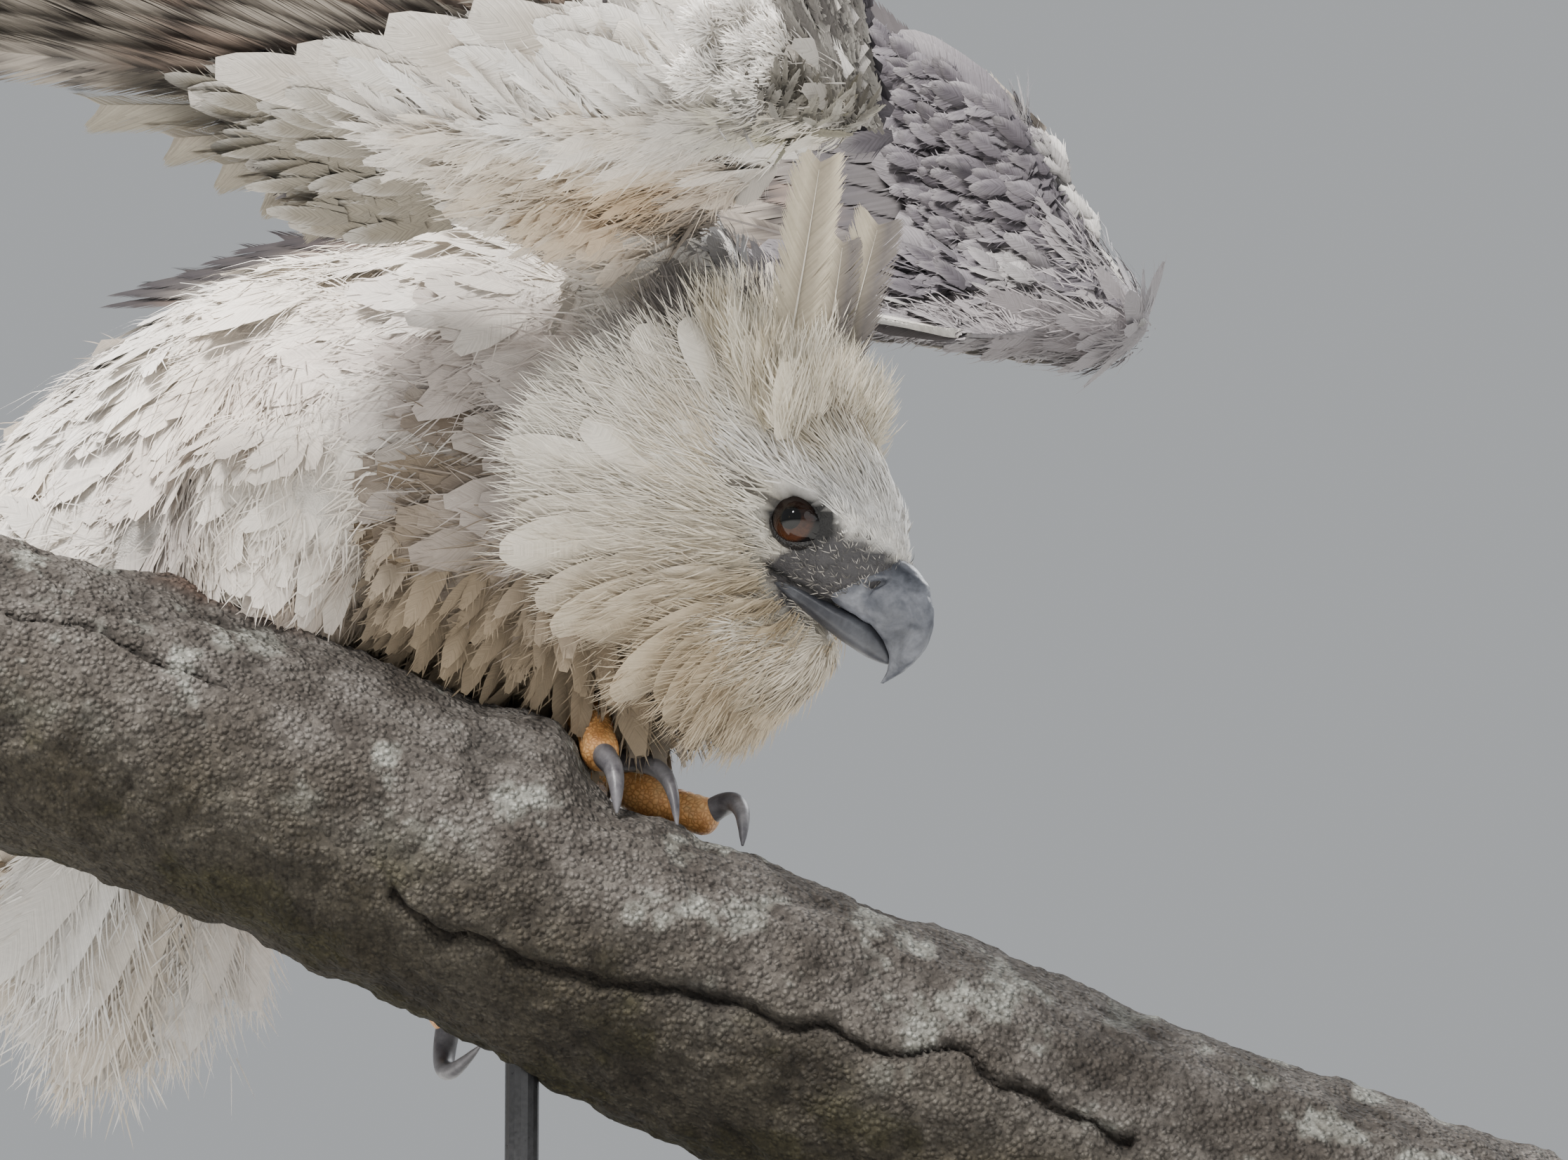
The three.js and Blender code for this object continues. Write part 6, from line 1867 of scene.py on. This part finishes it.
def lid_ring(centre, axis, front, up, sides=96):
    """The lids: a rolled rim round the eye's opening that draws to a point in front."""
    angle = 2 * math.pi * np.arange(sides) / sides
    ca, sa = np.cos(angle), np.sin(angle)
    pinch = 1 + 0.2 * np.maximum(ca, 0) ** 4
    inner = np.where(sa > 0, 10.8, 11.6)
    shape = (front[None] * (ca * 12.0 * pinch)[:, None] + up[None] * (sa * inner)[:, None])
    points, profile = [], 9
    for k in range(profile):
        w = k / (profile - 1)
        out = 1 + 0.52 * w
        bump = math.sin(math.pi * min(1.0, w * 1.35)) * 1.7
        flat = shape * out + front[None] * (0.35 * w * 12 * np.maximum(ca, 0) ** 5)[:, None]
        radial = np.linalg.norm(flat, axis=1)
        depth = np.sqrt(np.maximum((EYE_RADIUS + 0.3) ** 2 - np.minimum(radial, EYE_RADIUS) ** 2, 0))
        depth = depth + bump - 1.2 * w
        points.append(centre + flat + axis[None] * depth[:, None])
    points = np.vstack(points)
    return points, tri_facing(points, ring_tris(profile, sides), np.tile(axis, (len(points), 1)))


# The perch and the feet on it


BRANCH = [(-322, 0, 467), (-166, 0, 420), (-33, 0, 363), (72, 0, 309), (230, 0, 241), (468, 0, 156),
          (520, 0, 138)]
BARK_RISE = [(-76, 0), (-50, 6), (-36, 8), (-26, 3), (-12, -12), (1, -15), (18, -10), (42, -8), (62, -4),
             (130, -2), (180, 0)]
BRANCH_RADIUS, BRANCH_ENDS = 71, (-321, 519)
BARK_SIDES, BARK_RINGS, CUT_BANDS = 200, 380, 22


def branch_frame(x):
    """Middle, direction and upright of the branch at places along x."""
    t = np.linspace(0, 1, 1200)
    line = curve_points(BRANCH, t)
    x = np.atleast_1d(np.asarray(x, float))
    at = np.interp(x, line[:, 0], t)
    tangent_way = unit(curve_points(BRANCH, np.minimum(at + 2e-3, 1))
                       - curve_points(BRANCH, np.maximum(at - 2e-3, 0)))
    return curve_points(BRANCH,
                        at), tangent_way, np.c_[-tangent_way[:, 2], np.zeros(len(x)), tangent_way[:, 0]]


def bark_radius(x, degrees):
    upward = np.maximum(0, np.cos(np.radians(degrees)))
    return BRANCH_RADIUS + upward**2 * table(BARK_RISE, x)


def on_bark(x, degrees, lift):
    centre, _, upright = branch_frame(x)
    degrees = np.atleast_1d(np.asarray(degrees, float))
    radius = bark_radius(x, degrees) + lift
    a = np.radians(degrees)
    return centre + upright * (np.cos(a) * radius)[:, None] + np.array([0, 1.0, 0]) * (np.sin(a)
                                                                                       * radius)[:, None]


FISSURES = [
    [(-64, -116), (-34, -122), (-16, -118), (11, -116), (53, -102), (89, -94), (113, -90), (146, -88),
     (179, -76), (215, -82), (263, -82)],
    [(77, -4), (107, -4), (146, -6)],
    [(-64, -4), (-40, -6), (-34, 12), (-34, 38)],
    [(-265, -64), (-229, -60), (-190, -64), (-163, -66)],
    [(-277, -6), (-226, -6), (-178, -4)],
    [(-200, 120), (-60, 150), (80, 130), (240, 160)],
]


class EAGLE_OT_perch(bpy.types.Operator):
    """Make the branch with its grained bark, cracks, moss and cut ends."""
    bl_idname = "eagle.perch"
    bl_label = "Perch"

    def execute(self, context):
        relief = plan("eagle_perch").bark_relief / MM
        sides, rings = BARK_SIDES, BARK_RINGS
        x = np.linspace(*BRANCH_ENDS, rings)
        centre, way, upright = branch_frame(x)
        degrees = 360 * np.arange(sides) / sides
        grid_x = np.repeat(x, sides)
        grid_d = np.tile(degrees, rings)
        signed = np.where(grid_d > 180, grid_d - 360, grid_d)
        radius = bark_radius(grid_x, grid_d)
        a = np.radians(grid_d)
        normal = (np.repeat(upright, sides, axis=0) * np.cos(a)[:, None] + np.outer(np.sin(a), [0, 1.0, 0]))
        base = np.repeat(centre, sides, axis=0)
        p = base + normal * radius[:, None]
        lumps = mottle(p, 38, 71) * 0.8 + mottle(p, 15, 72) * 0.55 + mottle(p * [0.6, 1, 1], 6, 73) * 0.38
        lumps += 0.25 * mottle(p, 3, 74)
        stretch = np.clip(mottle(np.c_[p[:, 0] * 0.25, p[:, 1:]], 9, 75), -1, 1)
        crack = np.zeros(len(p))
        for k, fissure in enumerate(FISSURES):
            line = np.array(fissure, float)
            wobble = 4.5 * mottle(p, 20, 80 + k) + 2 * mottle(p, 7, 90 + k)
            target = np.interp(grid_x, line[:, 0], line[:, 1], left=999, right=999)
            gap = np.abs((signed - target) * math.pi / 180 * BRANCH_RADIUS + wobble)
            crack = np.maximum(crack, np.exp(-((gap / ((2.6 if k == 0 else 1.5) + 0.8 * stretch)) ** 2)))
        flake = smooth(14, 8, np.abs(signed + 6)) * smooth(-222, -205, grid_x) * smooth(-136, -150, grid_x)
        flake = flake * (0.6 + 0.4 * mottle(p, 12, 77))
        knots = 1.1 * np.sin(7 * (grid_x + 322) / 842 + 0.03 * grid_d) + 1.1 * np.sin(17 * (grid_x + 322)
                                                                                      / 842 + 2
                                                                                       + 0.035 * grid_d)
        rise = relief * lumps - 6.5 * crack + 6 * flake + knots * smooth(0, 0.2, np.abs(np.sin(a / 2)))
        p = p + normal * rise[:, None]
        bark, dark = srgb(140, 135, 130), srgb(62, 54, 46)
        colour = blend(np.tile(bark, (len(p), 1)), srgb(100, 94, 88), 0.5 + 0.8 * mottle(p, 26, 76))
        lichen = smooth(0.25, 0.6, mottle(p, 19, 78) + 0.35 * mottle(p, 5, 79)) * smooth(-0.5, 0.4,
                                                                                         normal[:, 2])
        colour = blend(colour, srgb(190, 192, 184), 0.85 * lichen)
        moss = smooth(0.1, 0.5, mottle(p, 34, 81) + 0.4 * mottle(p, 8, 82)) * smooth(0.1, -0.55, normal[:, 2])
        colour = blend(colour, srgb(92, 94, 50), 0.7 * moss)
        # Painted shade: the bark darkens toward the branch's underside.
        colour = blend(colour, srgb(66, 60, 44), 0.8 * smooth(0.45, -0.5, normal[:, 2]))
        # Dark in the cracks, partly their own inner bark and partly painted shade, and painted shade in the
        # low hollows between lumps.
        colour = blend(colour, dark * 0.5, np.clip(crack * 1.1 + 0.5 * smooth(-0.25, -0.8, lumps), 0, 1))
        colour = blend(colour, srgb(104, 68, 44), 0.8 * np.clip(flake, 0, 1))
        body = make_object("branch", p, tri_facing(p, ring_tris(rings, sides), normal), colour)
        finish(body, bark_material(), "bark", "perch_branch")
        self.cuts(p, centre, way)
        return {"FINISHED"}

    def cuts(self, bark, centre, way):
        """The sawn ends, with their growth rings and the dark bark round them."""
        material = wood_material()
        for name, ring, sign in (("cut_left", 0, -1), ("cut_right", BARK_RINGS - 1, 1)):
            edge = bark[ring * BARK_SIDES:(ring + 1) * BARK_SIDES]
            out = way[ring] * sign
            bands = np.linspace(0.02, 1, CUT_BANDS)
            disc = np.vstack([mix(centre[ring] + out * 0.8, edge, w) for w in bands])
            sunk = np.repeat(np.linspace(1, 0, CUT_BANDS), BARK_SIDES)
            disc += out * (0.35 * mottle(disc, 6, 99))[:, None] * sunk[:, None]
            far = np.repeat(bands, BARK_SIDES)
            growth = np.sin((far * 15 + 0.6 * mottle(disc, 30, 98)) * 2 * math.pi)
            wood = blend(np.tile(srgb(176, 142, 100), (len(disc), 1)), srgb(132, 98, 64), 0.4 + 0.4 * growth)
            wood = blend(wood, srgb(90, 72, 56), smooth(0.93, 0.97, far))
            tris = tri_facing(disc, ring_tris(CUT_BANDS, BARK_SIDES), np.tile(out, (len(disc), 1)))
            finish(make_object(name, disc, tris, wood), material, "bark")


LEGS = {
    "right": dict(ankle=(-122, 112, 470), foot=(-50, 38), toes=[
        ("inner", -15, 20, (26, -23), 20), ("middle", 33, 14, (55, -10), 15), ("outer", -15, -9, (3, -38), 4),
        ("hind", -84, 62, (-102, 74), 8)]),
    "left": dict(ankle=(-120, 160, 436), foot=(-80, 104), toes=[
        ("inner", -66, 128, (-62, 146), 9), ("middle", -26, 141, (-5, 170), 24),
        ("outer", -20, 106, (4, 106), 9), ("hind", -124, 100, (-152, 98), 9)]),
}
TOE_LIFT = 13.1
# Sizes of the plates along the toes, in metres
SCUTE = {"Spacing": 0.0042, "Width": 0.0068, "Height": 0.0016}


class EAGLE_OT_feet(bpy.types.Operator):
    """Make the scaled toes and legs, with scutes along them, and the talons."""
    bl_idname = "eagle.feet"
    bl_label = "Feet"

    def execute(self, context):
        skin = foot_material()
        horn = horn_material("talon horn", srgb(72, 70, 76), srgb(166, 164, 166))
        tree = scute_tree(skin)
        for label, leg in LEGS.items():
            parts, curves = [], []
            foot = on_bark(leg["foot"][0], leg["foot"][1], 20)[0]
            for name, x, angle, tip, arch in leg["toes"]:
                t = np.array([0, 0.33, 0.66, 1.0])
                line = on_bark(mix(leg["foot"][0], x, t), mix(leg["foot"][1], angle, t), TOE_LIFT
                               + np.where((t > 0) & (t < 1), 3.0, 0.0))

                def pads(tt, aa):
                    knuckle = 1 + 0.10 * np.sin(tt * 3.2 * 2 * math.pi + 0.6) * (0.4 + 0.6 * (np.sin(aa) < 0))
                    return knuckle

                points, tris = tube(line, [(12, 11), (10.8, 10.3), (10, 9.8), (8.6, 9.2)], up=(0, 1, 0.01),
                                       sides=36, steps=44, dome=0.8, shape=pads)
                parts.append((points, tris))
                curves.append(line)
                ts = np.array([-0.02, 0.2, 0.42, 0.64, 0.82, 0.94, 1.0])
                grown = np.clip(ts, 0, 1)
                lifts = mix(TOE_LIFT + 1, 3.2, grown**2.6) + 0.62 * arch * np.sin(math.pi * grown**0.85)
                claw = on_bark(mix(x, tip[0], ts), mix(angle, tip[1], ts), lifts)
                points, tris = tube(claw, [(6.2, 7.2), (5.6, 6.6), (4.8, 5.8), (3.9, 4.7),
                                               (2.8, 3.4), (1.7, 2.1), (0.8, 1.0)], up=(0, 1, 0.01),
                                       sides=28, steps=36, dome=0.8, end_dome=1.2)
                talon = make_object(f"talon_{label}_{name}", points, tris)
                finish(talon, horn, "horn", f"claw_{label}_{name}")
            points, tris = join(parts)
            toes = make_object(f"toes_{label}", points, tris)
            remesh(toes, TOE_VOXEL, 3)
            finish(toes, skin, "foot_skin", f"foot_{label}")
            toes.data.polygons.foreach_set("use_smooth", np.ones(len(toes.data.polygons), bool))
            ankle = np.array(leg["ankle"], float)
            points, tris = tube([ankle, mix(ankle, foot, 0.5), foot], [(12, 12), (10, 10.5), (13, 13)],
                                   up=(0, 1, 0), sides=36, steps=30, dome=0.5)
            shank = make_object(f"shank_{label}", points, tris)
            finish(shank, skin, "foot_skin", f"tarsus_{label}")
            self.scutes(label, curves, tree, skin)
        return {"FINISHED"}

    def scutes(self, label, curves, tree, skin):
        """Broad plates across the top of each toe, set along its line."""
        data = bpy.data.curves.new(f"toe_lines_{label}", "CURVE")
        data.dimensions = "3D"
        for line in curves:
            dense = curve_points(line, np.linspace(0.45, 1.0, 12))
            centre = branch_frame(dense[:, 0])[0]
            out = unit(dense - centre)
            spline = data.splines.new("POLY")
            spline.points.add(len(dense) - 1)
            for point, co in zip(spline.points, dense + out * 8.6):
                point.co = (*(co * MM), 1)
        guide = bpy.data.objects.new(f"scutes_{label}", data)
        bpy.context.scene.collection.objects.link(guide)
        modifier = guide.modifiers.new("scutes", "NODES")
        modifier.node_group = tree
        sockets = {item.name: item.identifier for item in tree.interface.items_tree
                   if item.item_type == "SOCKET"}
        for key, value in SCUTE.items():
            modifier[sockets[key]] = value
        graph = bpy.context.evaluated_depsgraph_get()
        mesh = bpy.data.meshes.new_from_object(guide.evaluated_get(graph))
        bpy.data.objects.remove(guide)
        piece = bpy.data.objects.new(f"toe_scutes_{label}", mesh)
        bpy.context.scene.collection.objects.link(piece)
        finish(piece, skin, "foot_skin")


def scute_tree(material):
    """Geometry nodes that set a flattened plate at even steps along each curve."""
    tree = bpy.data.node_groups.new("scutes along toes", "GeometryNodeTree")
    tree.interface.new_socket("Geometry", in_out="INPUT", socket_type="NodeSocketGeometry")
    for name, value in SCUTE.items():
        socket = tree.interface.new_socket(name, in_out="INPUT", socket_type="NodeSocketFloat")
        socket.default_value = value
    tree.interface.new_socket("Geometry", in_out="OUTPUT", socket_type="NodeSocketGeometry")
    nodes, links = tree.nodes, tree.links
    kinds = dict(given="NodeGroupInput", out="NodeGroupOutput", points="GeometryNodeCurveToPoints",
                 plate="GeometryNodeMeshUVSphere", size="ShaderNodeCombineXYZ", half="ShaderNodeMath",
                 place="GeometryNodeInstanceOnPoints", real="GeometryNodeRealizeInstances",
                 dress="GeometryNodeSetMaterial")
    node = {name: nodes.new(kind) for name, kind in kinds.items()}
    node["points"].mode = "LENGTH"
    node["half"].operation = "MULTIPLY"
    for name, socket, value in (("plate", "Segments", 14), ("plate", "Rings", 8), ("plate", "Radius", 1.0),
                                ("half", 1, 0.56), ("dress", "Material", material)):
        node[name].inputs[socket].default_value = value
    for start, output, end, socket in (
            ("given", "Geometry", "points", "Curve"), ("given", "Spacing", "points", "Length"),
            ("given", "Width", "size", 0), ("given", "Height", "size", 1), ("given", "Spacing", "half", 0),
            ("half", 0, "size", 2), ("points", "Points", "place", "Points"),
            ("plate", "Mesh", "place", "Instance"), ("points", "Rotation", "place", "Rotation"),
            ("size", 0, "place", "Scale"), ("place", "Instances", "real", "Geometry"),
            ("real", "Geometry", "dress", "Geometry"), ("dress", "Geometry", "out", "Geometry")):
        links.new(node[start].outputs[output], node[end].inputs[socket])
    return tree


class EAGLE_OT_stand(bpy.types.Operator):
    """Finish the display stand's base and rods."""
    bl_idname = "eagle.stand"
    bl_label = "Stand"

    def execute(self, context):
        board = stand_material("matt painted board", 0.55, 240)
        rod = stand_material("satin painted rod", 0.35, 500)
        for node, material in (("stand_base", board), ("stand_rod_1", rod), ("stand_rod_2", rod)):
            obj = bpy.data.objects[node]
            for slot in obj.material_slots:
                slot.material = material
        return {"FINISHED"}


class EAGLE_PT_panel(bpy.types.Panel):
    """Buttons that make each piece of the eagle."""
    bl_label = "Eagle"
    bl_idname = "EAGLE_PT_panel"
    bl_space_type = "VIEW_3D"
    bl_region_type = "UI"
    bl_category = "Eagle"

    def draw(self, context):
        for group in ("eagle_plumage", "eagle_bare", "eagle_perch"):
            values = getattr(context.scene, group)
            for key in values.bl_rna.properties.keys():
                if key not in ("rna_type", "name"):
                    self.layout.prop(values, key)
        for operator in STEPS:
            self.layout.operator(operator.bl_idname)


GROUPS = {"eagle_plumage": EaglePlumage, "eagle_bare": EagleBare, "eagle_perch": EaglePerch}
STEPS = (EAGLE_OT_stage, EAGLE_OT_stand, EAGLE_OT_perch, EAGLE_OT_skin, EAGLE_OT_body_coat,
         EAGLE_OT_head_coat, EAGLE_OT_wings, EAGLE_OT_tail, EAGLE_OT_bill, EAGLE_OT_eyes, EAGLE_OT_feet)


def register():
    for group in (*GROUPS.values(), *STEPS, EAGLE_PT_panel):
        bpy.utils.register_class(group)
    for name, group in GROUPS.items():
        setattr(bpy.types.Scene, name, bpy.props.PointerProperty(type=group))


def unregister():
    for name in GROUPS:
        delattr(bpy.types.Scene, name)
    for group in reversed((*GROUPS.values(), *STEPS, EAGLE_PT_panel)):
        bpy.utils.unregister_class(group)


def main():
    register()
    for step in STEPS:
        family, name = step.bl_idname.split(".")
        getattr(getattr(bpy.ops, family), name)()


if __name__ == "__main__":
    main()
